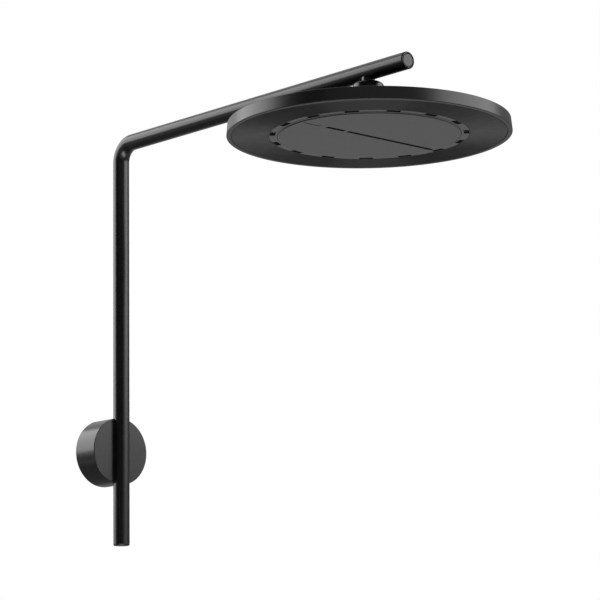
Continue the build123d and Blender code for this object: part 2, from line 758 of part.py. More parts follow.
pieces = {
    "wall_plate": wall_plate,
    "wall_flange": wall_flange,
    "flange_grub_screws": flange_grub_screws,
    "inlet_union": inlet_union,
    "inlet_o_rings": inlet_o_rings,
    "inlet_washer": inlet_washer,
    "arm_inlet_boss": arm_inlet_boss,
    "arm_lock_nut": arm_lock_nut,
    "shower_arm": shower_arm,
    "riser_end_plug": riser_end_plug,
    "riser_plug_o_ring": riser_plug_o_ring,
    "arm_end_cap": arm_end_cap,
    "arm_cap_o_ring": arm_cap_o_ring,
    "arm_outlet_boss": arm_outlet_boss,
    "neck_saddle": neck_saddle,
    "stud_o_ring": stud_o_ring,
    "ball_stud": ball_stud,
    "ball_liner": ball_liner,
    "ball_seal": ball_seal,
    "swivel_nut": swivel_nut,
    "rose_hub": rose_hub,
    "hub_o_ring": hub_o_ring,
    "hub_gasket": hub_gasket,
    "strainer": strainer,
    "flow_regulator": flow_regulator,
    "rose_cover": rose_cover,
    "rose_face": rose_face,
    "spray_ring": spray_ring,
    "nozzles": nozzles,
    "centre_plate": centre_plate,
    "plate_grommets": plate_grommets,
    "chamber_base": chamber_base,
    "chamber_lid": chamber_lid,
    "chamber_seal": chamber_seal,
    "chamber_screws": chamber_screws,
}
os.makedirs("parts", exist_ok=True)
for name, piece in pieces.items():
    piece.part.label = name
    export_step(piece.part, f"parts/{name}.step")
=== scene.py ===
"""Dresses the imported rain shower: smooth pieces, finishes, studio light and camera."""

import json
from math import acos, asin, cos, pi, radians, sin, sqrt

import bmesh
import bpy
from bpy.props import FloatProperty, FloatVectorProperty, IntProperty, PointerProperty
from mathutils import Matrix, Vector

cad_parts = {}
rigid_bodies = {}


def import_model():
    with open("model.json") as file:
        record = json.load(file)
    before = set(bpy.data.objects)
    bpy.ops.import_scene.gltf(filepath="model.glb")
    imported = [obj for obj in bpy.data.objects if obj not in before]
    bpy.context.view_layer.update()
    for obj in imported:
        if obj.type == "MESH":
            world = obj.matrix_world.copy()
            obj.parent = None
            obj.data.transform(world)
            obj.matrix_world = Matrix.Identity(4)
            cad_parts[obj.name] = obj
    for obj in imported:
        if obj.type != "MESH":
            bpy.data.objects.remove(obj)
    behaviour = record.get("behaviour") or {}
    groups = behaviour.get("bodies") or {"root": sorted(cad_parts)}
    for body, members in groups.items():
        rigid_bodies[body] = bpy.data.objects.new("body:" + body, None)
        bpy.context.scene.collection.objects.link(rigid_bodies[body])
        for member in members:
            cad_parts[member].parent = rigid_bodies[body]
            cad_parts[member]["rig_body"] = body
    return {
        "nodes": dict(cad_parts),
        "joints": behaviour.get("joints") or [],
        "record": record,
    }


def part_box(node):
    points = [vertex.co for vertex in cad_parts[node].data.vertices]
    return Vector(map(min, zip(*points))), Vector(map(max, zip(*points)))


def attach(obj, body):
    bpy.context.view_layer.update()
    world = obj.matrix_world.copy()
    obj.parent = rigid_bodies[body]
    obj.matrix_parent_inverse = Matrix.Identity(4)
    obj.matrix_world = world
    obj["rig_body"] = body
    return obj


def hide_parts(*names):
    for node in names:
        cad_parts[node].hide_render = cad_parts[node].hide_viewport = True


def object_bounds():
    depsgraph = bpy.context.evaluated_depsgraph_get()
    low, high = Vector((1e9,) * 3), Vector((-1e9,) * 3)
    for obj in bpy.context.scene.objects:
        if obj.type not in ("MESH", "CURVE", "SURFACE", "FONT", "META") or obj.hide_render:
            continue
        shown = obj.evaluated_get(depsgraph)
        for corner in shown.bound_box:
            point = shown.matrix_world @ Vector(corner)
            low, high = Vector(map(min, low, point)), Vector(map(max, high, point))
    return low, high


bl_info = {
    "name": "Rain shower dressing",
    "version": (1, 0, 0),
    "blender": (4, 5, 0),
    "location": "3D View > Sidebar > Shower",
    "description": "Smooth pieces, finishes and studio for a wall-mounted rain shower",
    "category": "Object",
}

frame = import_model()
cad_low, cad_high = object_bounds()

# Places read from the frame, in metres
tube_low, tube_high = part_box("shower_arm")
rose_low, rose_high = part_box("rose_cover")
flange_low, flange_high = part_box("wall_flange")
nut_low, nut_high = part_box("swivel_nut")
hub_low, hub_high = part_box("rose_hub")
disc_low, disc_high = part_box("centre_plate")
saddle_low, saddle_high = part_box("neck_saddle")
ring_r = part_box("spray_ring")[1].x
face_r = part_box("rose_face")[1].x
plate_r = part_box("wall_plate")[1].x
stud_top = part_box("ball_stud")[1].z

tube_r = tube_high.x
riser_y = tube_high.y - tube_r
arm_z = tube_high.z - tube_r
arm_end_y = tube_low.y
riser_end_z = tube_low.z
flange_r = flange_high.x
flange_depth = -flange_low.y
rose_y = (rose_low.y + rose_high.y) / 2
rose_base = rose_low.z
rose_top = rose_high.z
rose_spin = next(joint for joint in frame["joints"] if joint["name"] == "rose_spin")
ball_z = rose_spin["pos_m"][2]

# Vertices this near are one
MERGE = 1e-6
# How near a vertex or a face lies to the ring or plane that it belongs to
CLOSE = 2e-5
# How far a cutter stands past what it cuts
SPARE = 0.001
# Edges that turn by more than this stay sharp
SHARP = radians(32)
# Turns the Z axis out of the wall
OUTWARDS = Matrix.Rotation(pi / 2, 4, "X")


def length(description, millimetres):
    """Size property in metres, whose default is given in millimetres."""
    return FloatProperty(description=description, default=millimetres / 1000, min=0.0, precision=5,
                         unit="LENGTH", subtype="DISTANCE")


def point(description, default):
    """Property for a place in metres."""
    return FloatVectorProperty(description=description, default=default, size=len(default),
                               unit="LENGTH")


def slope(description, degrees):
    """Angle property, whose default is given in degrees."""
    return FloatProperty(description=description, default=radians(degrees), subtype="ANGLE",
                         unit="ROTATION")


def quantity(description, default, least):
    """Property for a number of things."""
    return IntProperty(description=description, default=default, min=least)


def tone(description, default):
    """Colour property."""
    return FloatVectorProperty(description=description, default=default, size=3, min=0.0, max=1.0,
                               subtype="COLOR")


def share(description, default):
    """Property from 0 to 1."""
    return FloatProperty(description=description, default=default, min=0.0, max=1.0,
                         subtype="FACTOR")


def watts(description, default):
    """Property for a lamp's power."""
    return FloatProperty(description=description, default=default, subtype="POWER")


class ShowerTubeSizes(bpy.types.PropertyGroup):
    """Sizes of the tube and the plugs in its ends"""

    wall: length("Thickness of the tube's wall", 1.5)
    bend: length("Radius of the bend at the tube's axis", 22)
    edge: length("Rounding of the tube's ends", 1.4)
    bore_edge: length("Rounding of the bore's mouth", 0.08)
    plug_gap: length("Gap round a plug's face", 1)
    plug_fit: length("Gap round a plug's body", 0.1)
    plug_inset: length("Tube's end to a plug's face", 0.4)
    plug_face: length("Depth of a plug's narrow face", 2)
    plug_length: length("Length of a plug", 12)
    plug_edge: length("Rounding of a plug's face", 0.3)
    segments: quantity("Facets round the tube", 128, 12)
    bend_steps: quantity("Rings along the bend", 40, 4)


class ShowerWallSizes(bpy.types.PropertyGroup):
    """Sizes of the flange and what is behind it"""

    flange_wall: length("Thickness of the flange's drum", 3.2)
    flange_edge: length("Rounding of the flange's front edge", 0.8)
    flange_rear: length("Rounding of the flange's rear edge", 0.4)
    saddle_gap: length("Tube to the flange's saddle", 0.1)
    saddle_web: length("Metal behind the saddle", 2.5)
    boss_hole_r: length("Radius of the hole behind the riser", 8.1)
    grub_r: length("Radius of a grub screw", 2.5)
    grub_hole_r: length("Radius of a grub screw's hole", 2.6)
    grub_depth: length("Wall to a grub screw's axis", 3.4)
    grub_angle: slope("From the flange's top to the hole", 24)
    grub_seat: length("Flange's axis to a grub screw's point", 34.6)
    grub_point: length("Length of a grub screw's point", 1.2)
    grub_length: length("Length of a grub screw", 3.4)
    grub_edge: length("Rounding of a grub screw's outer end", 0.2)
    grub_socket: length("Radius of the hexagon socket's corners", 1.44)
    plate_depth: length("Thickness of the wall plate", 6)
    plate_hole_r: length("Radius of the hole round the union", 14.06)
    plate_edge: length("Rounding of the wall plate's edges", 0.3)
    groove_depth: length("Depth of the wall plate's groove", 1)
    groove_width: length("Width of the wall plate's groove", 2.7)
    screw_circle_r: length("Radius of the circle of wall screws", 27)
    screw_hole_r: length("Radius of a wall screw's hole", 2.75)
    screw_count: quantity("Number of wall screws", 3, 2)
    union_corner_r: length("Radius of the union's corners", 13.856)
    union_edge: length("Rounding of the union's corners", 0.5)
    union_length: length("Length of the union's hexagon", 15)
    thread_r: length("Crest radius of the inlet thread", 9.3)
    thread_cut: length("Depth of the inlet thread", 0.6)
    thread_pitch: length("Pitch of the inlet thread", 1.8)
    thread_depth: length("Length of the inlet thread", 11)
    relief_depth: length("Length of the undercut for the washer", 2)
    water_r: length("Radius of the union's water hole", 4.2)
    spigot_r: length("Radius of the union's spigot", 6.5)
    spigot_end: length("Wall to the spigot's end", 25.5)


class ShowerSwivelSizes(bpy.types.PropertyGroup):
    """Sizes of the collar, the ball stud, the nut and the hub"""

    ball_r: length("Radius of the ball", 13)
    neck_r: length("Radius of the stud's neck", 7)
    shank_r: length("Radius of the stud's shank", 4.1)
    stud_bore_r: length("Radius of the stud's water hole", 3)
    ball_flat: length("Ball's centre to its flat", 10.5)
    collar_bore_r: length("Radius of the collar's bore", 5.35)
    collar_edge: length("Rounding of the collar", 0.2)
    collar_gap: length("Arm's underside to the collar", 0.05)
    socket_r: length("Radius of the nut's and hub's socket", 15.2)
    throat_r: length("Radius where the socket opens", 10.7)
    mouth_r: length("Radius of the nut's mouth", 11.1)
    mouth_edge: length("Rounding of the nut's mouth", 0.2)
    land: length("Flat ring round the nut's mouth", 0.5)
    shoulder_r: length("Rounding of the nut's upper edge", 5.37)
    shoulder_tilt: slope("Taper of the nut's upper side", 11.31)
    side_top: length("Ball's centre down to the top of the nut's plain side", 3)
    nut_bore_r: length("Radius of the nut's thread", 17)
    nut_shoulder: length("Ball's centre to the nut's inner shoulder", 2.3)
    nut_edge: length("Rounding of the nut's edges", 0.5)
    flat_depth: length("Depth of the nut's two flats", 0.8)
    flat_height: length("Height of the nut's flats", 8)
    cup_r: length("Radius of the hub's threaded cup", 16.8)
    cup_rim: length("Ball's centre to the cup's rim", 2.5)
    collar_top: length("Ball's centre to the hub's collar", 14.2)
    collar_base: length("Ball's centre to the collar's base", 18.5)
    waist_r: length("Radius of the hub's waist", 13)
    waist_top: length("Ball's centre to the waist's top", 24.14)
    waist_base: length("Ball's centre to the waist's base", 26.02)
    waist_edge: length("Rounding over and under the waist", 0.6)
    foot_top: length("Ball's centre to the top of the hub's foot", 27.9)
    foot_base: length("Ball's centre to the hub's foot", 31.4)
    foot_edge: length("Rounding of the hub's foot", 0.8)
    spigot_r: length("Radius of the hub's spigot", 11)
    bore_r: length("Radius of the hub's wide bore", 8.5)
    bore_top: length("Ball's centre to the wide bore's roof", 21.5)
    hub_throat_r: length("Radius of the hub's throat", 6.5)


class ShowerRoseSizes(bpy.types.PropertyGroup):
    """Sizes of the rose's cover, face and nozzles"""

    outer_r: length("Radius of the rose at its lower lip, before the rounding", 152.4)
    rim_draft: length("How much smaller the rim is at its top", 1.4)
    rim_wall: length("Thickness of the rim", 3)
    roof: length("Thickness of the cover's top", 2)
    lip_width: length("Width of the lower lip", 5.2)
    lip_round: length("Rounding of the lip's outer edge", 0.7)
    lip_inner: length("Rounding of the lip's inner edge", 0.3)
    top_round: length("Rounding of the top edge", 1)
    ledge_width: length("Width of the ledge behind the face", 2.3)
    ledge_height: length("Height of the ledge", 2)
    hub_hole_r: length("Radius of the hole for the hub", 11.1)
    face_thickness: length("Thickness of the face ring", 2.2)
    face_edge: length("Rounding of the face ring's edges", 0.3)
    lip_r: length("Outer radius of the thin lip", 100.4)
    ring_recess: length("Depth of the channel floor", 0.15)
    ring_lip: length("Height of the thin lip over the channel floor", 0.25)
    ring_top: length("Lower lip to the spray ring's back", 2.65)
    ring_gap: length("Gap on each side of the spray ring", 0.4)
    ring_edge: length("Rounding of the thin lip", 0.1)
    slot_count: quantity("Number of spray slots", 15, 3)
    slot_r: length("Radius of the circle of slots", 103.5)
    slot_length: length("Length of a slot", 15)
    slot_width: length("Width of a slot", 5.8)
    nozzle_length: length("Length of a nozzle", 10.8)
    nozzle_width: length("Width of a nozzle", 3.2)
    nozzle_tip: length("Lower lip to a nozzle's tip", 0.85)
    nozzle_top: length("Lower lip to a nozzle's collar", 4.65)
    nozzle_lips: length("Wall of a nozzle's slit", 1.2)
    nozzle_dip: length("How far a nozzle's mouth is drawn in", 0.2)
    collar_over: length("How far a collar stands past its nozzle", 1.6)
    collar_height: length("Thickness of a nozzle's collar", 1.2)
    disc_bevel: length("Width of the centre plate's bevel", 1.4)
    disc_bevel_height: length("Height of the bevel", 0.6)
    disc_edge: length("Rounding of the bevel's edges", 0.2)
    disc_thickness: length("Thickness of the centre plate", 2.8)
    groove_width: length("Width of the cross groove", 5)
    groove_depth: length("Depth of the cross groove", 1.5)
    groove_faint: length("Depth of the groove's faint stretch", 0.3)
    peg_r: length("Radius of a peg behind the plate", 3)
    peg_circle_r: length("Radius of the circle of pegs", 60)
    peg_count: quantity("Number of pegs", 4, 2)
    facets: quantity("Facets round the rose", 240, 24)


class ShowerFinishes(bpy.types.PropertyGroup):
    """Tones of the finishes and roughness of the black coats"""

    coat_dark: tone("Darker tone of the satin black coat", (0.0022, 0.0022, 0.0023))
    coat_light: tone("Lighter tone of the satin black coat", (0.0036, 0.0036, 0.0037))
    coat_gloss: share("Roughness of the satin black coat", 0.25)
    cover_gloss: share("Roughness of the coat on the rose", 0.32)
    top_gloss: share("Roughness of the coat on top of the rose", 0.55)
    face_dark: tone("Darker tone of the spun face", (0.005, 0.005, 0.0052))
    face_light: tone("Lighter tone of the spun face", (0.010, 0.010, 0.0104))
    plate_dark: tone("Darker tone of the centre plate", (0.007, 0.007, 0.0072))
    plate_light: tone("Lighter tone of the centre plate", (0.011, 0.011, 0.0113))
    ring_dark: tone("Darker tone of the spray ring", (0.008, 0.008, 0.0082))
    ring_light: tone("Lighter tone of the spray ring", (0.013, 0.013, 0.0133))
    # Painted shade: these near-black tones stand in for the shade deep in the spray slots
    slot_shade_dark: tone("Darker tone inside the slots", (0.0010, 0.0010, 0.0010))
    slot_shade_light: tone("Lighter tone inside the slots", (0.0022, 0.0022, 0.0022))
    rubber_dark: tone("Darker tone of nozzles and seals", (0.004, 0.004, 0.004))
    rubber_light: tone("Lighter tone of nozzles and seals", (0.012, 0.012, 0.012))
    brass_dark: tone("Darker tone of the brass", (0.62, 0.45, 0.19))
    brass_light: tone("Lighter tone of the brass", (0.78, 0.60, 0.29))
    steel_dark: tone("Darker tone of the steel", (0.47, 0.47, 0.48))
    steel_light: tone("Lighter tone of the steel", (0.62, 0.62, 0.63))
    seat_dark: tone("Darker tone of the seat plastic", (0.66, 0.65, 0.61))
    seat_light: tone("Lighter tone of the seat plastic", (0.77, 0.76, 0.72))
    chamber_dark: tone("Darker tone of the chamber plastic", (0.045, 0.045, 0.05))
    chamber_light: tone("Lighter tone of the chamber plastic", (0.07, 0.07, 0.075))


class ShowerStudio(bpy.types.PropertyGroup):
    """Camera, floor, lamps and cards"""

    azimuth: slope("Camera's place round the shower", -42.54445)
    elevation: slope("Camera's place over the horizon", -10.36472)
    roll: slope("Camera's turn about its own axis", -0.79312)
    distance: length("Camera to the point it looks at", 2848.667)
    target: point("Point that the camera looks at", (0.05904, -0.28292, 0.15017))
    lens: FloatProperty(description="Focal length in millimetres", default=152.542)
    floor_drop: length("Flange's centre down to the floor", 1750)
    floor_size: length("Half the floor's width", 20000)
    floor_dark: tone("Darker tone of the floor", (0.8471, 0.8471, 0.83725))
    floor_light: tone("Lighter tone of the floor", (0.86, 0.86, 0.85))
    floor_glow: share("Glow of the floor where the camera sees it", 0.55)
    floor_gloss: share("How much of the floor's glow gloss shows", 0.1)
    mat_tone: tone("Colour of the dark mat that only gloss shows", (0.1, 0.1, 0.1))
    mat_place: point("Middle of the dark mat", (-0.5, 2.0))
    mat_inner: length("Radius of the dark mat's even part", 2000)
    mat_outer: length("Radius where the dark mat ends", 4500)
    left_power: watts("Power of the lamp behind, left", 205.0)
    right_power: watts("Power of the lamp in front, right", 36.0)
    low_power: watts("Power of the lamp below, in front", 28.0)
    front_power: watts("Power of the faint strip in front", 2.2)
    fill: share("Brightness of the even light from all sides", 0.35)
    front_card: share("Brightness of the dark card on the camera's side", 0.03)
    back_card: share("Brightness of the grey card behind, right", 0.3)


def on_ring(vert, radius, height):
    """True for a vertex at that radius from the Z axis and that height."""
    return abs(vert.co.xy.length - radius) < CLOSE and abs(vert.co.z - height) < CLOSE


def edges_among(verts):
    """Edges with both ends in these vertices."""
    ends = set(verts)
    edges = dict.fromkeys(edge for vert in verts for edge in vert.link_edges)
    return [edge for edge in edges if ends.issuperset(edge.verts)]


def soften(bm, edges, offset, segments=3):
    """Rounds these edges."""
    bmesh.ops.bevel(bm, geom=edges, offset=offset, offset_type="OFFSET", affect="EDGES",
                    segments=segments, profile=0.5, material=-1, clamp_overlap=True)


def turned(outline, rounds=(), steps=96):
    """Closed outline of (radius, height) points spun about Z. Each of rounds is a ring's point,
    the rounding of its edge and the number of facets across it."""
    bm = bmesh.new()
    corners = [bm.verts.new((radius, 0.0, height)) for radius, height in outline]
    for start, end in zip(corners, corners[1:] + corners[:1]):
        if start.co.x > MERGE or end.co.x > MERGE:
            bm.edges.new((start, end))
    bmesh.ops.spin(bm, geom=bm.verts[:] + bm.edges[:], cent=(0, 0, 0), axis=(0, 0, 1),
                   angle=2 * pi, steps=steps, use_merge=True)
    bmesh.ops.remove_doubles(bm, verts=bm.verts[:], dist=MERGE)
    bmesh.ops.recalc_face_normals(bm, faces=bm.faces[:])
    for (radius, height), offset, segments in rounds:
        ring = [edge for edge in bm.edges
                if all(on_ring(vert, radius, height) for vert in edge.verts)]
        if not ring:
            raise RuntimeError(f"no edge at radius {radius} and height {height}")
        soften(bm, ring, offset, segments)
    return bm


def arc(radius, start, end, steps, height=0.0):
    """(radius, height) points of an arc about a point on the axis, angles in radians."""
    angles = [start + (end - start) * step / steps for step in range(steps + 1)]
    return [(radius * cos(angle), height + radius * sin(angle)) for angle in angles]


def at(x, y, z):
    """Matrix that moves a thing to a place."""
    return Matrix.Translation((x, y, z))


def equal_turns(count):
    """Matrices that turn a thing to each of this many places round Z."""
    return [Matrix.Rotation(2 * pi * number / count, 4, "Z") for number in range(count)]


def pin(bm, radius, depth, place, segments):
    """Adds a plain round pin to a bmesh, with its middle at a place and its axis along Z there."""
    bmesh.ops.create_cone(bm, cap_ends=True, segments=segments, radius1=radius, radius2=radius,
                          depth=depth, matrix=place)


def rod(radius, start, end, segments):
    """Plain round cutter between two points."""
    line = Vector(end) - Vector(start)
    place = Matrix.Translation((Vector(start) + Vector(end)) / 2)
    place @= line.to_track_quat("Z", "Y").to_matrix().to_4x4()
    bm = bmesh.new()
    pin(bm, radius, line.length, place, segments)
    return bm


def block(bm, size, place):
    """Adds a plain block to a bmesh and returns its vertices."""
    scale = Matrix.Diagonal((*size, 1.0))
    return bmesh.ops.create_cube(bm, size=1.0, matrix=place @ scale)["verts"]


def linked(name, data):
    """New object in the scene with this mesh, lamp or camera."""
    holder = bpy.data.objects.new(name, data)
    bpy.context.scene.collection.objects.link(holder)
    return holder


def loose_object(bm, name):
    """Object in the scene with the bmesh's mesh. The bmesh is used up."""
    mesh = bpy.data.meshes.new(name)
    bm.to_mesh(mesh)
    bm.free()
    return linked(name, mesh)


def baked_mesh(holder):
    """Mesh of an object with its modifiers applied."""
    bpy.context.view_layer.update()
    graph = bpy.context.evaluated_depsgraph_get()
    return bpy.data.meshes.new_from_object(holder.evaluated_get(graph), depsgraph=graph)


def drop(*holders):
    """Removes helper objects with their meshes."""
    for holder in holders:
        mesh = holder.data
        bpy.data.objects.remove(holder)
        bpy.data.meshes.remove(mesh)


def cut(bm, *cutters):
    """Bmesh with the cutters taken out of it. All of them are used up."""
    body = loose_object(bm, "cut_body")
    tools = [loose_object(cutter, "cut_tool") for cutter in cutters]
    for tool in tools:
        step = body.modifiers.new("cut", "BOOLEAN")
        step.operation = "DIFFERENCE"
        step.solver = "EXACT"
        step.object = tool
    mesh = baked_mesh(body)
    drop(body, *tools)
    result = bmesh.new()
    result.from_mesh(mesh)
    bpy.data.meshes.remove(mesh)
    bmesh.ops.remove_doubles(result, verts=result.verts[:], dist=MERGE)
    return result


def finish_piece(bm, name, node, slot, *finishes):
    """Makes the bmesh a piece with smooth faces that stands for a node and rides on its body. The
    finishes go by the faces' material numbers. Without any, the piece has the slot's own finish."""
    if bm.calc_volume(signed=True) <= 0:
        raise RuntimeError(f"faces of {name} point inwards")
    holder = loose_object(bm, "raw_" + name)
    mesh = holder.data
    mesh.polygons.foreach_set("use_smooth", [True] * len(mesh.polygons))
    mesh.set_sharp_from_angle(angle=SHARP)
    normals = holder.modifiers.new("normals", "WEIGHTED_NORMAL")
    normals.keep_sharp = True
    normals.weight = 80
    baked = baked_mesh(holder)
    baked.name = name
    drop(holder)
    for finish in finishes or (slot,):
        baked.materials.append(bpy.data.materials[finish])
    piece = linked(name, baked)
    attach(piece, frame["nodes"][node]["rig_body"])
    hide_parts(node)


class Tree:
    """Shader nodes of a material or a world."""

    def __init__(self, tree):
        self.nodes = tree.nodes
        self.links = tree.links

    def feed(self, node, name, value):
        """Gives an input of a node a value, or links it to another node's output."""
        if isinstance(value, bpy.types.NodeSocket):
            self.links.new(value, node.inputs[name])
        else:
            node.inputs[name].default_value = value

    def add(self, kind, inputs=None, **settings):
        """New node of a kind, with these settings and inputs."""
        node = self.nodes.new("ShaderNode" + kind)
        for name, value in settings.items():
            setattr(node, name, value)
        for name, value in (inputs or {}).items():
            self.feed(node, name, value)
        return node

    def mixed(self, factor, first, second):
        """Colour between two others, each of which is a tone or a node's output."""
        colours = [value if isinstance(value, bpy.types.NodeSocket) else (*value, 1.0)
                   for value in (first, second)]
        inputs = {"Factor": factor, "A": colours[0], "B": colours[1]}
        return self.add("Mix", inputs, data_type="RGBA").outputs["Result"]

    def ramp(self, value, span, levels, kind="SMOOTHSTEP"):
        """Change from one level to another while a value crosses a span."""
        inputs = {"Value": value, "From Min": span[0], "From Max": span[1], "To Min": levels[0],
                  "To Max": levels[1]}
        return self.add("MapRange", inputs, interpolation_type=kind).outputs["Result"]

    def maths(self, operation, first, second):
        """Result of an operation on two values."""
        return self.add("Math", {0: first, 1: second}, operation=operation).outputs["Value"]


class Finish(Tree):
    """A new material with a shader and Object coordinates."""

    # Most of a noise lies in this span
    noise_span = (0.3, 0.7)
    # Blender's wave texture has this many radians a metre at scale 1
    wave_radians = 20.0

    def __init__(self, name):
        self.material = bpy.data.materials.new(name)
        self.material.use_nodes = True
        super().__init__(self.material.node_tree)
        self.shader = self.nodes["Principled BSDF"]
        self.place = self.add("TexCoord").outputs["Object"]

    def give(self, **inputs):
        """Sets inputs of the shader. An underscore in a name stands for a space."""
        for name, value in inputs.items():
            self.feed(self.shader, name.replace("_", " "), value)

    def mapped(self, offset=(0, 0, 0), scale=(1, 1, 1)):
        """Object coordinates from an offset, scaled."""
        inputs = {"Vector": self.place, "Scale": scale,
                  "Location": [-o * s for o, s in zip(offset, scale)]}
        return self.add("Mapping", inputs).outputs["Vector"]

    def noise(self, size, detail=2.0, place=None):
        """Noise whose grains have about this size in metres."""
        inputs = {"Vector": place or self.place, "Scale": 1.0 / size, "Detail": detail}
        return self.add("TexNoise", inputs).outputs["Fac"]

    def rings(self, spacing, centre):
        """Fine rings round a vertical axis, like the marks of a lathe."""
        inputs = {"Vector": self.mapped(centre), "Scale": 2 * pi / (self.wave_radians * spacing),
                  "Distortion": 0.6, "Detail": 1.0}
        return self.add("TexWave", inputs, wave_type="RINGS", rings_direction="Z").outputs["Fac"]

    def colour(self, pattern, dark, light):
        """Base colour between two tones."""
        self.give(Base_Color=self.mixed(pattern, dark, light))

    def roughness(self, pattern, low, high):
        """Roughness between two values."""
        self.give(Roughness=self.ramp(pattern, self.noise_span, (low, high), "LINEAR"))

    def bump(self, pattern, strength, depth):
        """Fine relief of this depth in metres."""
        inputs = {"Height": pattern, "Strength": strength, "Distance": depth}
        self.give(Normal=self.add("Bump", inputs).outputs["Normal"])


def satin_black(name, tones, gloss, shine=0.5):
    """Satin black coat: near black, with the faint mottle and orange peel of a sprayed coat."""
    made = Finish(name)
    made.colour(made.noise(0.02), tones.coat_dark, tones.coat_light)
    made.roughness(made.noise(0.006, 4.0), gloss - 0.02, gloss + 0.02)
    made.bump(made.noise(0.0011, 3.0), strength=0.008, depth=0.00006)
    made.give(Specular_IOR_Level=shine)


def spun_black(name, tones):
    """Black face with fine turned rings, whose gloss stretches across them."""
    made = Finish(name)
    rings = made.rings(0.00377, (0.0, rose_y, rose_base))
    tangent = made.add("Tangent", direction_type="RADIAL", axis="Z").outputs["Tangent"]
    made.colour(rings, tones.face_dark, tones.face_light)
    made.roughness(made.noise(0.01, 3.0), 0.44, 0.50)
    made.bump(rings, strength=0.05, depth=0.00005)
    made.give(Specular_IOR_Level=0.3, Anisotropic=0.97, Anisotropic_Rotation=0.25, Tangent=tangent)


def grained(name, dark, light, mottle, grain, rough, detail=2.0, relief=None, shine=0.5):
    """Finish with a mottle and a grain of these sizes in metres. The grain varies the roughness
    between two values, and may have a relief of a strength and a depth."""
    made = Finish(name)
    pattern = made.noise(grain, detail)
    made.colour(made.noise(mottle), dark, light)
    made.roughness(pattern, *rough)
    made.give(Specular_IOR_Level=shine)
    if relief:
        made.bump(pattern, *relief)


def machined_metal(name, dark, light, stretch):
    """Turned or rolled metal with fine marks, stretched by a scale along each axis."""
    made = Finish(name)
    marks = made.noise(0.0012, 4.0, made.mapped(scale=stretch))
    made.colour(made.noise(0.015, 3.0), dark, light)
    made.roughness(marks, 0.26, 0.42)
    made.bump(marks, strength=0.12, depth=0.00006)
    made.give(Metallic=1.0)


class SHOWER_OT_finishes(bpy.types.Operator):
    """Makes the finishes and puts them on the carried-over pieces"""

    bl_idname = "shower.finishes"
    bl_label = "Finishes"

    def execute(self, context):
        tones = context.scene.shower_finishes
        stock = bpy.data.materials
        for imported in stock[:]:
            stock.remove(imported)
        satin_black("satin_black", tones, tones.coat_gloss)
        satin_black("cover_black", tones, tones.cover_gloss)
        satin_black("top_black", tones, tones.top_gloss, shine=0.25)
        spun_black("spun_black", tones)
        grained("plate_black", tones.plate_dark, tones.plate_light, mottle=0.03, grain=0.0007,
                rough=(0.20, 0.26), relief=(0.02, 0.00003))
        grained("ring_black", tones.ring_dark, tones.ring_light, mottle=0.008, grain=0.0006,
                rough=(0.18, 0.24), relief=(0.02, 0.00003))
        # Painted shade: the walls inside the spray slots get a near-black, dull finish, darker than
        # the ring itself
        grained("slot_black", tones.slot_shade_dark, tones.slot_shade_light, mottle=0.002, grain=0.001,
                rough=(0.78, 0.9), shine=0.08)
        # Painted shade: the deep stretch of the plate's cross groove gets a darker, duller finish than
        # the plate
        grained("groove_black", tones.coat_dark, tones.coat_light, mottle=0.004, grain=0.001,
                rough=(0.62, 0.74), shine=0.12)
        for name in ("nozzle_rubber", "seal_rubber"):
            grained(name, tones.rubber_dark, tones.rubber_light, mottle=0.004, grain=0.0008,
                    rough=(0.66, 0.8), detail=3.0, relief=(0.1, 0.00008), shine=0.1)
        plastics = {"seat_plastic": (tones.seat_dark, tones.seat_light),
                    "chamber_plastic": (tones.chamber_dark, tones.chamber_light)}
        for name, pair in plastics.items():
            grained(name, *pair, mottle=0.012, grain=0.0009, rough=(0.42, 0.56),
                    relief=(0.08, 0.00008))
        machined_metal("plain_brass", tones.brass_dark, tones.brass_light, (1, 6, 1))
        machined_metal("bare_steel", tones.steel_dark, tones.steel_light, (0.12, 1, 1))
        for row in frame["record"]["subparts"]:
            mesh = frame["nodes"][row["node"]].data
            mesh.materials.clear()
            mesh.materials.append(stock[row["material_slot"]])
        return {"FINISHED"}


class SHOWER_OT_arm_tube(bpy.types.Operator):
    """Builds the bent tube that is riser and arm"""

    bl_idname = "shower.arm_tube"
    bl_label = "Riser and arm"

    # Edges that turn by more than this are the rims of the bore
    rim_angle = radians(60)

    def pulled(self, bm, edges, way):
        """Draws these edges out along a vector and returns the new vertices."""
        made = bmesh.ops.extrude_edge_only(bm, edges=edges)["geom"]
        verts = [item for item in made if isinstance(item, bmesh.types.BMVert)]
        bmesh.ops.translate(bm, verts=verts, vec=way)
        return verts

    def run_of_tube(self, bm, sizes):
        """Outside of the tube along the riser, the bend and the arm. Returns its end edges."""
        bend_z = arm_z - sizes.bend
        ring = bmesh.ops.create_circle(bm, cap_ends=False, segments=sizes.segments, radius=tube_r,
                                       matrix=at(0.0, riser_y, riser_end_z))["verts"]
        first = edges_among(ring)
        verts = self.pulled(bm, first, (0.0, 0.0, bend_z - riser_end_z))
        curved = bmesh.ops.spin(bm, geom=verts + edges_among(verts), axis=(1, 0, 0), angle=pi / 2,
                                cent=(0.0, riser_y - sizes.bend, bend_z), steps=sizes.bend_steps)
        edges = [item for item in curved["geom_last"] if isinstance(item, bmesh.types.BMEdge)]
        verts = self.pulled(bm, edges, (0.0, arm_end_y - riser_y + sizes.bend, 0.0))
        return first + edges_among(verts)

    def execute(self, context):
        sizes = context.scene.shower_tube
        bm = bmesh.new()
        ends = self.run_of_tube(bm, sizes)
        bmesh.ops.recalc_face_normals(bm, faces=bm.faces[:])
        bmesh.ops.solidify(bm, geom=bm.faces[:], thickness=sizes.wall)
        bmesh.ops.recalc_face_normals(bm, faces=bm.faces[:])
        soften(bm, ends, sizes.edge, 5)
        rims = [edge for edge in bm.edges if edge.calc_face_angle(0.0) > self.rim_angle]
        soften(bm, rims, sizes.bore_edge, 2)
        finish_piece(bm, "arm_tube", "shower_arm", "satin_black")
        return {"FINISHED"}


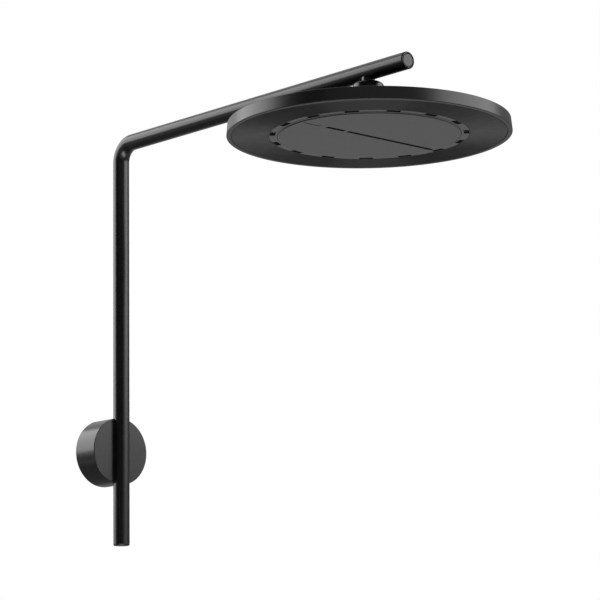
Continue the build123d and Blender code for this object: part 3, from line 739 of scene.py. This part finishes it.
class SHOWER_OT_end_plugs(bpy.types.Operator):
    """Builds the plugs in the tube's two ends"""

    bl_idname = "shower.end_plugs"
    bl_label = "End plugs"

    def execute(self, context):
        sizes = context.scene.shower_tube
        face_r = tube_r - sizes.wall - sizes.plug_gap
        body_r = tube_r - sizes.wall - sizes.plug_fit
        shoulder = sizes.plug_inset + sizes.plug_face
        outline = [(0.0, sizes.plug_inset), (face_r, sizes.plug_inset), (face_r, shoulder),
                   (body_r, shoulder), (body_r, sizes.plug_length), (0.0, sizes.plug_length)]
        rounds = [(outline[1], sizes.plug_edge, 3)]
        ends = {
            "riser_plug": ("riser_end_plug", at(0.0, riser_y, riser_end_z)),
            "arm_cap": ("arm_end_cap", at(0.0, arm_end_y, arm_z)
                        @ Matrix.Rotation(-pi / 2, 4, "X")),
        }
        for name, (node, place) in ends.items():
            bm = turned(outline, rounds, 64)
            bm.transform(place)
            finish_piece(bm, name, node, "satin_black")
        return {"FINISHED"}


def grub_frames(sizes):
    """Places of the two grub screws: Z points out of the flange, at its axis."""
    frames = []
    for angle in (sizes.grub_angle, sizes.grub_angle + pi):
        out = Vector((-sin(angle), 0.0, cos(angle)))
        turn = out.to_track_quat("Z", "Y").to_matrix().to_4x4()
        frames.append(at(0.0, -sizes.grub_depth, 0.0) @ turn)
    return frames


class SHOWER_OT_wall_flange(bpy.types.Operator):
    """Builds the drum flange with its saddle and screw holes"""

    bl_idname = "shower.wall_flange"
    bl_label = "Wall flange"

    def execute(self, context):
        sizes = context.scene.shower_wall
        inner_r = flange_r - sizes.flange_wall
        cup = -riser_y - tube_r - sizes.saddle_web
        outline = [(0.0, cup), (inner_r, cup), (inner_r, 0.0), (flange_r, 0.0),
                   (flange_r, flange_depth), (0.0, flange_depth)]
        rounds = [(outline[4], sizes.flange_edge, 4), (outline[3], sizes.flange_rear, 2)]
        drum = turned(outline, rounds, 160)
        drum.transform(OUTWARDS)
        reach = 2 * flange_r
        saddle = rod(tube_r + sizes.saddle_gap, (0, riser_y, -reach), (0, riser_y, reach), 96)
        boss = rod(sizes.boss_hole_r, (0, SPARE - cup, 0), (0, -flange_depth, 0), 48)
        holes = bmesh.new()
        for place in grub_frames(sizes):
            pin(holes, sizes.grub_hole_r, flange_r / 2, place @ at(0, 0, flange_r), 32)
        drum = cut(drum, saddle, boss, holes)
        finish_piece(drum, "flange_drum", "wall_flange", "satin_black")
        return {"FINISHED"}


class SHOWER_OT_wall_parts(bpy.types.Operator):
    """Builds the wall plate, the grub screws and the inlet union"""

    bl_idname = "shower.wall_parts"
    bl_label = "Wall plate and inlet"

    def wall_plate(self, sizes):
        """Plate with rounded edges, a groove round it and screw holes."""
        low = sizes.grub_depth - sizes.groove_width / 2
        high = sizes.grub_depth + sizes.groove_width / 2
        floor_r = plate_r - sizes.groove_depth
        outline = [(sizes.plate_hole_r, 0.0), (plate_r, 0.0), (plate_r, low), (floor_r, low),
                   (floor_r, high), (plate_r, high), (plate_r, sizes.plate_depth),
                   (sizes.plate_hole_r, sizes.plate_depth)]
        rounds = [(outline[index], sizes.plate_edge, 2) for index in (0, 1, 6, 7)]
        plate = turned(outline, rounds, 128)
        plate.transform(OUTWARDS)
        holes = bmesh.new()
        for number in range(sizes.screw_count):
            angle = pi / 2 + 2 * pi * number / sizes.screw_count
            centre = (sizes.screw_circle_r * cos(angle), -sizes.plate_depth / 2,
                      sizes.screw_circle_r * sin(angle))
            pin(holes, sizes.screw_hole_r, 2 * sizes.plate_depth, at(*centre) @ OUTWARDS, 40)
        return cut(plate, holes)

    def grub_screws(self, sizes):
        """Two screws with a dog point and a hexagon socket."""
        bm = bmesh.new()
        top = sizes.grub_seat + sizes.grub_length
        for place in grub_frames(sizes):
            outline = [(0.0, sizes.grub_seat), (sizes.grub_r / 2, sizes.grub_seat),
                       (sizes.grub_r / 2, sizes.grub_seat + sizes.grub_point),
                       (sizes.grub_r, sizes.grub_seat + sizes.grub_point), (sizes.grub_r, top),
                       (0.0, top)]
            screw = turned(outline, [(outline[4], sizes.grub_edge, 2)], 32)
            socket = bmesh.new()
            pin(socket, sizes.grub_socket, sizes.grub_point * 2, at(0, 0, top), 6)
            screw = cut(screw, socket)
            screw.transform(place)
            part = bpy.data.meshes.new("screw")
            screw.to_mesh(part)
            screw.free()
            bm.from_mesh(part)
            bpy.data.meshes.remove(part)
        return bm

    def inlet_union(self, sizes):
        """Hexagon with a threaded socket behind it and a plain spigot in front."""
        outline = []
        depth = 0.0
        while depth + sizes.thread_pitch < sizes.thread_depth:
            outline += [(sizes.thread_r + sizes.thread_cut, depth),
                        (sizes.thread_r, depth + sizes.thread_pitch * 0.4),
                        (sizes.thread_r, depth + sizes.thread_pitch * 0.6)]
            depth += sizes.thread_pitch
        relief_r = sizes.thread_r + sizes.thread_cut
        relief_end = sizes.thread_depth + sizes.relief_depth
        corner_r = sizes.union_corner_r - sizes.union_edge
        outline += [(relief_r, depth), (relief_r, relief_end), (sizes.water_r, relief_end),
                    (sizes.water_r, sizes.spigot_end), (sizes.spigot_r, sizes.spigot_end),
                    (sizes.spigot_r, sizes.union_length), (corner_r, sizes.union_length),
                    (corner_r, 0.0)]
        rounds = [(outline[index], sizes.union_edge, 3) for index in (-2, -1)]
        bm = turned(outline, rounds, 72)
        flats = []
        reach = sizes.union_corner_r * cos(pi / 6) + sizes.union_corner_r / 2
        for turn in equal_turns(6):
            flat = bmesh.new()
            block(flat, (sizes.union_corner_r, 2 * sizes.union_corner_r, 4 * sizes.union_length),
                  turn @ at(reach, 0.0, 0.0))
            flats.append(flat)
        bm = cut(bm, *flats)
        bm.transform(OUTWARDS)
        return bm

    def execute(self, context):
        sizes = context.scene.shower_wall
        finish_piece(self.wall_plate(sizes), "fixing_plate", "wall_plate", "bare_steel")
        finish_piece(self.grub_screws(sizes), "grub_screws", "flange_grub_screws", "bare_steel")
        finish_piece(self.inlet_union(sizes), "inlet_socket", "inlet_union", "plain_brass")
        return {"FINISHED"}


class SHOWER_OT_swivel(bpy.types.Operator):
    """Builds the collar, the ball stud, the swivel nut and the hub"""

    bl_idname = "shower.swivel"
    bl_label = "Ball swivel"

    def collar(self, sizes):
        """Short collar whose top follows the arm's underside."""
        outer_r = saddle_high.x
        base = saddle_low.z - ball_z
        top = saddle_high.z - ball_z
        outline = [(sizes.collar_bore_r, base), (outer_r, base), (outer_r, top),
                   (sizes.collar_bore_r, top)]
        bm = turned(outline, [(outline[1], sizes.collar_edge, 2)], 96)
        reach = tube_r + sizes.collar_gap
        for vert in bm.verts:
            if abs(vert.co.z - top) < CLOSE:
                vert.co.z = arm_z - ball_z - sqrt(reach**2 - vert.co.x**2)
        return bm

    def stud(self, sizes):
        """Hollow ball with its neck and shank."""
        flat = -asin(sizes.ball_flat / sizes.ball_r)
        neck = acos(sizes.neck_r / sizes.ball_r)
        shoulder = saddle_low.z - ball_z
        shank_top = stud_top - ball_z
        outline = arc(sizes.ball_r, flat, neck, 24) + [
            (sizes.neck_r, shoulder), (sizes.shank_r, shoulder), (sizes.shank_r, shank_top),
            (sizes.stud_bore_r, shank_top), (sizes.stud_bore_r, -sizes.ball_flat)]
        return turned(outline, (), 96)

    def nut(self, sizes):
        """Nut with a rounded shoulder, a mouth for the neck and two spanner flats."""
        nut_r = nut_high.x
        rise = nut_high.z - ball_z
        base = nut_low.z - ball_z
        shoulder = [(sizes.mouth_r + sizes.land + radius, height) for radius, height in
                    arc(sizes.shoulder_r, sizes.shoulder_tilt, pi / 2, 12, rise - sizes.shoulder_r)]
        socket = arc(sizes.socket_r, acos(sizes.throat_r / sizes.socket_r), 0.0, 12)
        outline = shoulder + [(sizes.mouth_r, rise)] + socket + [
            (sizes.socket_r, -sizes.nut_shoulder), (sizes.nut_bore_r, -sizes.nut_shoulder),
            (sizes.nut_bore_r, base), (nut_r, base), (nut_r, -sizes.side_top)]
        rounds = [((nut_r, base), sizes.nut_edge, 3), ((sizes.mouth_r, rise), sizes.mouth_edge, 2)]
        bm = turned(outline, rounds, 128)
        flats = bmesh.new()
        for side in (-1, 1):
            block(flats, (2 * sizes.flat_depth, 2 * nut_r, 2 * sizes.flat_height),
                  at(side * nut_r, 0, base))
        return cut(bm, flats)

    def hub(self, sizes):
        """Hub with a collar under the nut, a waist and a foot on the rose."""
        rim = asin(sizes.cup_rim / sizes.socket_r)
        cup = arc(sizes.socket_r, -acos(sizes.hub_throat_r / sizes.socket_r), -rim, 14)
        nut_r = nut_high.x
        foot_r = hub_high.x
        spigot = hub_low.z - ball_z
        outline = cup + [
            (sizes.cup_r, -sizes.cup_rim), (sizes.cup_r, -sizes.collar_top),
            (nut_r, -sizes.collar_top), (nut_r, -sizes.collar_base),
            (sizes.waist_r, -sizes.waist_top), (sizes.waist_r, -sizes.waist_base),
            (foot_r, -sizes.foot_top), (foot_r, -sizes.foot_base), (sizes.spigot_r, -sizes.foot_base),
            (sizes.spigot_r, spigot), (sizes.bore_r, spigot), (sizes.bore_r, -sizes.bore_top),
            (sizes.hub_throat_r, -sizes.bore_top)]
        rounds = [((nut_r, -sizes.collar_top), sizes.nut_edge, 3),
                  ((nut_r, -sizes.collar_base), sizes.nut_edge, 3),
                  ((sizes.waist_r, -sizes.waist_top), sizes.waist_edge, 3),
                  ((sizes.waist_r, -sizes.waist_base), sizes.waist_edge, 3),
                  ((foot_r, -sizes.foot_top), sizes.foot_edge, 3)]
        return turned(outline, rounds, 128)

    def execute(self, context):
        sizes = context.scene.shower_swivel
        place = at(0.0, rose_y, ball_z)
        pieces = {
            "neck_collar": (self.collar, "neck_saddle"),
            "ball_and_neck": (self.stud, "ball_stud"),
            "domed_nut": (self.nut, "swivel_nut"),
            "hub_body": (self.hub, "rose_hub"),
        }
        for name, (shape, node) in pieces.items():
            bm = shape(sizes)
            bm.transform(place)
            finish_piece(bm, name, node, "satin_black")
        return {"FINISHED"}


class SHOWER_OT_rose_cover(bpy.types.Operator):
    """Builds the rose's cover with its flared rim and rounded lip"""

    bl_idname = "shower.rose_cover"
    bl_label = "Rose cover"

    def execute(self, context):
        sizes = context.scene.shower_rose
        height = rose_top - rose_base
        top_r = sizes.outer_r - sizes.rim_draft
        lip_r = sizes.outer_r - sizes.lip_width
        ledge_r = lip_r - sizes.ledge_width
        ledge_top = sizes.face_thickness + sizes.ledge_height
        roof = height - sizes.roof
        inner_r = top_r - sizes.rim_wall
        outline = [(sizes.hub_hole_r, height), (top_r, height), (sizes.outer_r, 0.0), (lip_r, 0.0),
                   (lip_r, sizes.face_thickness), (ledge_r, sizes.face_thickness),
                   (ledge_r, ledge_top), (inner_r, ledge_top), (inner_r, roof),
                   (sizes.hub_hole_r, roof)]
        rounds = [(outline[1], sizes.top_round, 4), (outline[2], sizes.lip_round, 6),
                  (outline[3], sizes.lip_inner, 2)]
        bm = turned(outline, rounds, sizes.facets)
        for face in bm.faces:
            if face.calc_center_median().z > height - CLOSE:
                face.material_index = 1
        bm.transform(at(0.0, rose_y, rose_base))
        finish_piece(bm, "cover_pan", "rose_cover", "satin_black", "cover_black", "top_black")
        return {"FINISHED"}


class SHOWER_OT_rose_face(bpy.types.Operator):
    """Builds the outer face ring, the spray ring and the nozzles"""

    bl_idname = "shower.rose_face"
    bl_label = "Rose face"

    def face(self, sizes):
        """Flat outer ring with softened edges."""
        inner_r = ring_r + sizes.ring_gap
        outline = [(inner_r, 0.0), (face_r, 0.0), (face_r, sizes.face_thickness),
                   (inner_r, sizes.face_thickness)]
        rounds = [(outline[0], sizes.face_edge, 2), (outline[1], sizes.face_edge, 2)]
        return turned(outline, rounds, sizes.facets)

    def slots(self, sizes):
        """Blocks that cut the slots."""
        bm = bmesh.new()
        height = 4 * sizes.ring_top
        for turn in equal_turns(sizes.slot_count):
            block(bm, (sizes.slot_width, sizes.slot_length, height),
                  turn @ at(sizes.slot_r, 0.0, sizes.ring_top))
        return bm

    def spray_ring(self, sizes):
        """Ring with a channel floor, a thin lip and its slots, whose inner walls carry a painted
        shade.
        """
        inner_r = disc_high.x + sizes.ring_gap
        lip_base = sizes.ring_recess - sizes.ring_lip
        outline = [(inner_r, lip_base), (sizes.lip_r, lip_base), (sizes.lip_r, sizes.ring_recess),
                   (ring_r, sizes.ring_recess), (ring_r, sizes.ring_top), (inner_r, sizes.ring_top)]
        rounds = [(outline[1], sizes.ring_edge, 2), (outline[0], sizes.ring_edge, 2)]
        bm = cut(turned(outline, rounds, sizes.facets), self.slots(sizes))
        # Painted shade: the walls inside the slots take the second finish, a near-black one darker
        # than the ring
        for face in bm.faces:
            middle = face.calc_center_median()
            inside = sizes.lip_r < middle.xy.length < ring_r - CLOSE
            if inside and middle.z > sizes.ring_recess + CLOSE and abs(face.normal.z) < 0.5:
                face.material_index = 1
        return bm

    def nozzles(self, sizes):
        """Soft nozzles with a drawn-in tip, a slit and a collar."""
        bm = bmesh.new()
        stem = sizes.nozzle_top - sizes.nozzle_tip
        collar_size = (sizes.nozzle_width + 2 * sizes.collar_over,
                       sizes.nozzle_length + 2 * sizes.collar_over, sizes.collar_height)
        for turn in equal_turns(sizes.slot_count):
            place = turn @ at(sizes.slot_r, 0.0, sizes.nozzle_tip + stem / 2)
            verts = block(bm, (sizes.nozzle_width, sizes.nozzle_length, stem), place)
            faces = {face for vert in verts for face in vert.link_faces}
            tip = min(faces, key=lambda face: face.calc_center_median().z)
            bmesh.ops.inset_individual(bm, faces=[tip], thickness=sizes.nozzle_lips)
            bmesh.ops.translate(bm, verts=tip.verts[:], vec=(0, 0, sizes.nozzle_dip))
            sunk = bmesh.ops.extrude_discrete_faces(bm, faces=[tip])["faces"][0]
            bmesh.ops.translate(bm, verts=sunk.verts[:], vec=(0, 0, stem / 2))
            over = place @ at(0, 0, (stem + sizes.collar_height) / 2)
            block(bm, collar_size, over)
        bmesh.ops.recalc_face_normals(bm, faces=bm.faces[:])
        return bm

    def execute(self, context):
        sizes = context.scene.shower_rose
        place = at(0.0, rose_y, rose_base)
        pieces = {
            "face_ring": (self.face, "rose_face", "spun_black"),
            "slotted_ring": (self.spray_ring, "spray_ring", "ring_black", "ring_black", "slot_black"),
            "soft_nozzles": (self.nozzles, "nozzles", "nozzle_rubber"),
        }
        for name, (shape, node, *finishes) in pieces.items():
            bm = shape(sizes)
            bm.transform(place)
            finish_piece(bm, name, node, *finishes)
        return {"FINISHED"}


class SHOWER_OT_centre_plate(bpy.types.Operator):
    """Builds the centre plate with its bevel, broken cross groove and pegs"""

    bl_idname = "shower.centre_plate"
    bl_label = "Centre plate"

    # Start and end in metres along X, and kind, of each stretch of the groove
    groove_spans = ((-0.094, -0.0705, "faint"), (-0.062, -0.036, "deep"), (-0.032, 0.095, "deep"))

    def execute(self, context):
        sizes = context.scene.shower_rose
        outer_r = disc_high.x
        front = disc_low.z - rose_base
        back = front + sizes.disc_thickness
        outline = [(0.0, front), (outer_r - sizes.disc_bevel, front),
                   (outer_r, front + sizes.disc_bevel_height), (outer_r, back), (0.0, back)]
        rounds = [(outline[1], sizes.disc_edge, 2), (outline[2], sizes.disc_edge, 2)]
        bm = turned(outline, rounds, sizes.facets)
        grooves = bmesh.new()
        for start, end, kind in self.groove_spans:
            depth = sizes.groove_faint if kind == "faint" else sizes.groove_depth
            block(grooves, (end - start, sizes.groove_width, 2 * depth),
                  at((start + end) / 2, 0.0, front))
        bm = cut(bm, grooves)
        reach = max(end for start, end, kind in self.groove_spans)
        # Painted shade: the walls and floor of the deep groove take the second finish, darker than the
        # plate
        for face in bm.faces:
            middle = face.calc_center_median()
            in_line = abs(middle.y) < sizes.groove_width / 2 + CLOSE and abs(middle.x) < reach + CLOSE
            if in_line and front + sizes.groove_faint < middle.z < front + sizes.groove_depth + CLOSE:
                face.material_index = 1
        peg_height = disc_high.z - rose_base - back
        peg_place = at(sizes.peg_circle_r, 0.0, back + peg_height / 2)
        for turn in equal_turns(sizes.peg_count):
            pin(bm, sizes.peg_r, peg_height, turn @ peg_place, 24)
        bm.transform(at(0.0, rose_y, rose_base))
        finish_piece(bm, "plain_plate", "centre_plate", "plate_black", "plate_black", "groove_black")
        return {"FINISHED"}


class SHOWER_OT_stage(bpy.types.Operator):
    """Sets up the floor, the studio light and the camera"""

    bl_idname = "shower.stage"
    bl_label = "Studio"

    def floor(self, studio):
        """Wide pale floor far below the shower, with a dark mat that only gloss shows."""
        bm = bmesh.new()
        bmesh.ops.create_grid(bm, x_segments=8, y_segments=8, size=studio.floor_size,
                              matrix=at(0, 0, -studio.floor_drop))
        floor = loose_object(bm, "floor")
        made = Finish("pale_floor")
        rays = made.add("LightPath").outputs
        pale = made.mixed(made.noise(0.6, 3.0), studio.floor_dark, studio.floor_light)
        from_mat = made.mapped((*studio.mat_place, -studio.floor_drop))
        reach = made.add("VectorMath", {0: from_mat}, operation="LENGTH").outputs["Value"]
        near = made.ramp(reach, (studio.mat_inner, studio.mat_outer), (1.0, 0.0))
        mat = made.maths("MULTIPLY", near, rays["Is Glossy Ray"])
        made.give(Base_Color=made.mixed(mat, pale, studio.mat_tone))
        made.roughness(made.noise(0.05), 0.7, 0.85)
        seen = made.maths("MAXIMUM", rays["Is Camera Ray"], rays["Is Transmission Ray"])
        gloss = made.ramp(rays["Is Glossy Ray"], (0.0, 1.0), (0.0, studio.floor_gloss))
        made.give(Emission_Strength=made.maths("ADD", seen, gloss),
                  Emission_Color=(*[studio.floor_glow] * 3, 1.0))
        floor.data.materials.append(made.material)

    def away(self, studio, turn, lift):
        """Direction at an angle to the right from the camera's side, and over the horizon."""
        angle = studio.azimuth + turn
        return Vector((sin(angle) * cos(lift), -cos(angle) * cos(lift), sin(lift)))

    def card(self, tree, studio, direction, turn, lift, edge, brightness):
        """White with a card in it, at angles in degrees. The card's edge fades between the cosines
        of two angles from its middle."""
        middle = self.away(studio, radians(turn), radians(lift))
        aim = tree.add("VectorMath", {0: direction, 1: middle}, operation="DOT_PRODUCT")
        return tree.ramp(aim.outputs["Value"], edge, (1.0, brightness))

    def cards(self, tree, studio):
        """Background as glossy rays see it: white, with a dark card in front and a grey one behind
        that fades out overhead."""
        direction = tree.add("TexCoord").outputs["Generated"]
        height = tree.add("SeparateXYZ", {"Vector": direction}).outputs["Z"]
        front = self.card(tree, studio, direction, turn=-22, lift=40, edge=(0.34, 0.64),
                          brightness=studio.front_card)
        back = self.card(tree, studio, direction, turn=140, lift=0, edge=(0.5, 0.85),
                         brightness=studio.back_card)
        high = tree.ramp(height, (0.15, 0.6), (0.0, 1.0))
        return tree.maths("MULTIPLY", front, tree.maths("MAXIMUM", back, high))

    def world(self, context, studio):
        """White behind the shower, with cards round it that only gloss shows."""
        world = bpy.data.worlds.new("studio")
        context.scene.world = world
        world.use_nodes = True
        tree = Tree(world.node_tree)
        tree.nodes.clear()
        rays = tree.add("LightPath").outputs
        level = tree.add("Mix", {"Factor": rays["Is Glossy Ray"], "A": studio.fill,
                                 "B": self.cards(tree, studio)}, data_type="FLOAT")
        light = tree.add("Background", {"Strength": level.outputs["Result"]})
        white = tree.add("Background", {"Color": (1.0, 1.0, 1.0, 1.0)})
        seen = tree.maths("MAXIMUM", rays["Is Camera Ray"], rays["Is Transmission Ray"])
        both = tree.add("MixShader", {"Fac": seen, 1: light.outputs["Background"],
                                      2: white.outputs["Background"]})
        tree.add("OutputWorld", {"Surface": both.outputs["Shader"]})

    def lamp(self, studio, name, turn, lift, distance, size, power):
        """Soft lamp at angles in degrees, to the right from the camera's side and over the horizon."""
        away = self.away(studio, radians(turn), radians(lift))
        middle = Vector((0.0, (cad_low.y + cad_high.y) / 2, rose_base / 2))
        light = bpy.data.lights.new(name, "AREA")
        light.shape = "RECTANGLE"
        light.size, light.size_y = size
        light.energy = power
        lamp = linked(name, light)
        lamp.location = middle + away * distance
        lamp.rotation_euler = away.to_track_quat("Z", "Y").to_euler()
        lamp.visible_camera = False

    def camera(self, context, studio):
        """Camera at the photograph's viewing angle."""
        back = self.away(studio, 0.0, studio.elevation)
        right = self.away(studio, pi / 2, 0.0)
        up = back.cross(right)
        level_right = cos(studio.roll) * right + sin(studio.roll) * up
        level_up = cos(studio.roll) * up - sin(studio.roll) * right
        lens = bpy.data.cameras.new("camera")
        lens.lens = studio.lens
        lens.sensor_width = 36.0
        lens.clip_start, lens.clip_end = 0.05, 100.0
        camera = linked("camera", lens)
        turn = Matrix((level_right, level_up, back)).transposed().to_4x4()
        camera.matrix_world = Matrix.Translation(Vector(studio.target) + studio.distance * back) @ turn
        context.scene.camera = camera

    def execute(self, context):
        studio = context.scene.shower_studio
        context.scene.view_settings.view_transform = "Standard"
        self.floor(studio)
        self.world(context, studio)
        self.lamp(studio, "lamp_left", turn=-108, lift=23, distance=6.0, size=(5.3, 4.4),
                  power=studio.left_power)
        self.lamp(studio, "lamp_right", turn=85, lift=23.7, distance=2.6, size=(2.8, 1.6),
                  power=studio.right_power)
        self.lamp(studio, "lamp_low", turn=0, lift=-50, distance=1.7, size=(2.0, 1.0),
                  power=studio.low_power)
        self.lamp(studio, "lamp_front", turn=0, lift=27, distance=2.6, size=(3.0, 0.5),
                  power=studio.front_power)
        self.camera(context, studio)
        return {"FINISHED"}


OPERATORS = (
    SHOWER_OT_finishes,
    SHOWER_OT_arm_tube,
    SHOWER_OT_end_plugs,
    SHOWER_OT_wall_flange,
    SHOWER_OT_wall_parts,
    SHOWER_OT_swivel,
    SHOWER_OT_rose_cover,
    SHOWER_OT_rose_face,
    SHOWER_OT_centre_plate,
    SHOWER_OT_stage,
)


class SHOWER_PT_sidebar(bpy.types.Panel):
    """Lists the shower's pieces in the sidebar"""

    bl_idname = "SHOWER_PT_sidebar"
    bl_label = "Rain shower"
    bl_space_type = "VIEW_3D"
    bl_region_type = "UI"
    bl_category = "Shower"

    def draw(self, context):
        for operator in OPERATORS:
            self.layout.operator(operator.bl_idname, text=operator.bl_label)


SETTINGS = {
    "shower_tube": ShowerTubeSizes,
    "shower_wall": ShowerWallSizes,
    "shower_swivel": ShowerSwivelSizes,
    "shower_rose": ShowerRoseSizes,
    "shower_finishes": ShowerFinishes,
    "shower_studio": ShowerStudio,
}


def register():
    for group in SETTINGS.values():
        bpy.utils.register_class(group)
    for name, group in SETTINGS.items():
        setattr(bpy.types.Scene, name, PointerProperty(type=group))
    for operator in OPERATORS:
        bpy.utils.register_class(operator)
    bpy.utils.register_class(SHOWER_PT_sidebar)


def unregister():
    bpy.utils.unregister_class(SHOWER_PT_sidebar)
    for operator in reversed(OPERATORS):
        bpy.utils.unregister_class(operator)
    for name in SETTINGS:
        delattr(bpy.types.Scene, name)
    for group in reversed(SETTINGS.values()):
        bpy.utils.unregister_class(group)


def main():
    register()
    bpy.ops.shower.finishes()
    bpy.ops.shower.arm_tube()
    bpy.ops.shower.end_plugs()
    bpy.ops.shower.wall_flange()
    bpy.ops.shower.wall_parts()
    bpy.ops.shower.swivel()
    bpy.ops.shower.rose_cover()
    bpy.ops.shower.rose_face()
    bpy.ops.shower.centre_plate()
    bpy.ops.shower.stage()


if __name__ == "__main__":
    main()
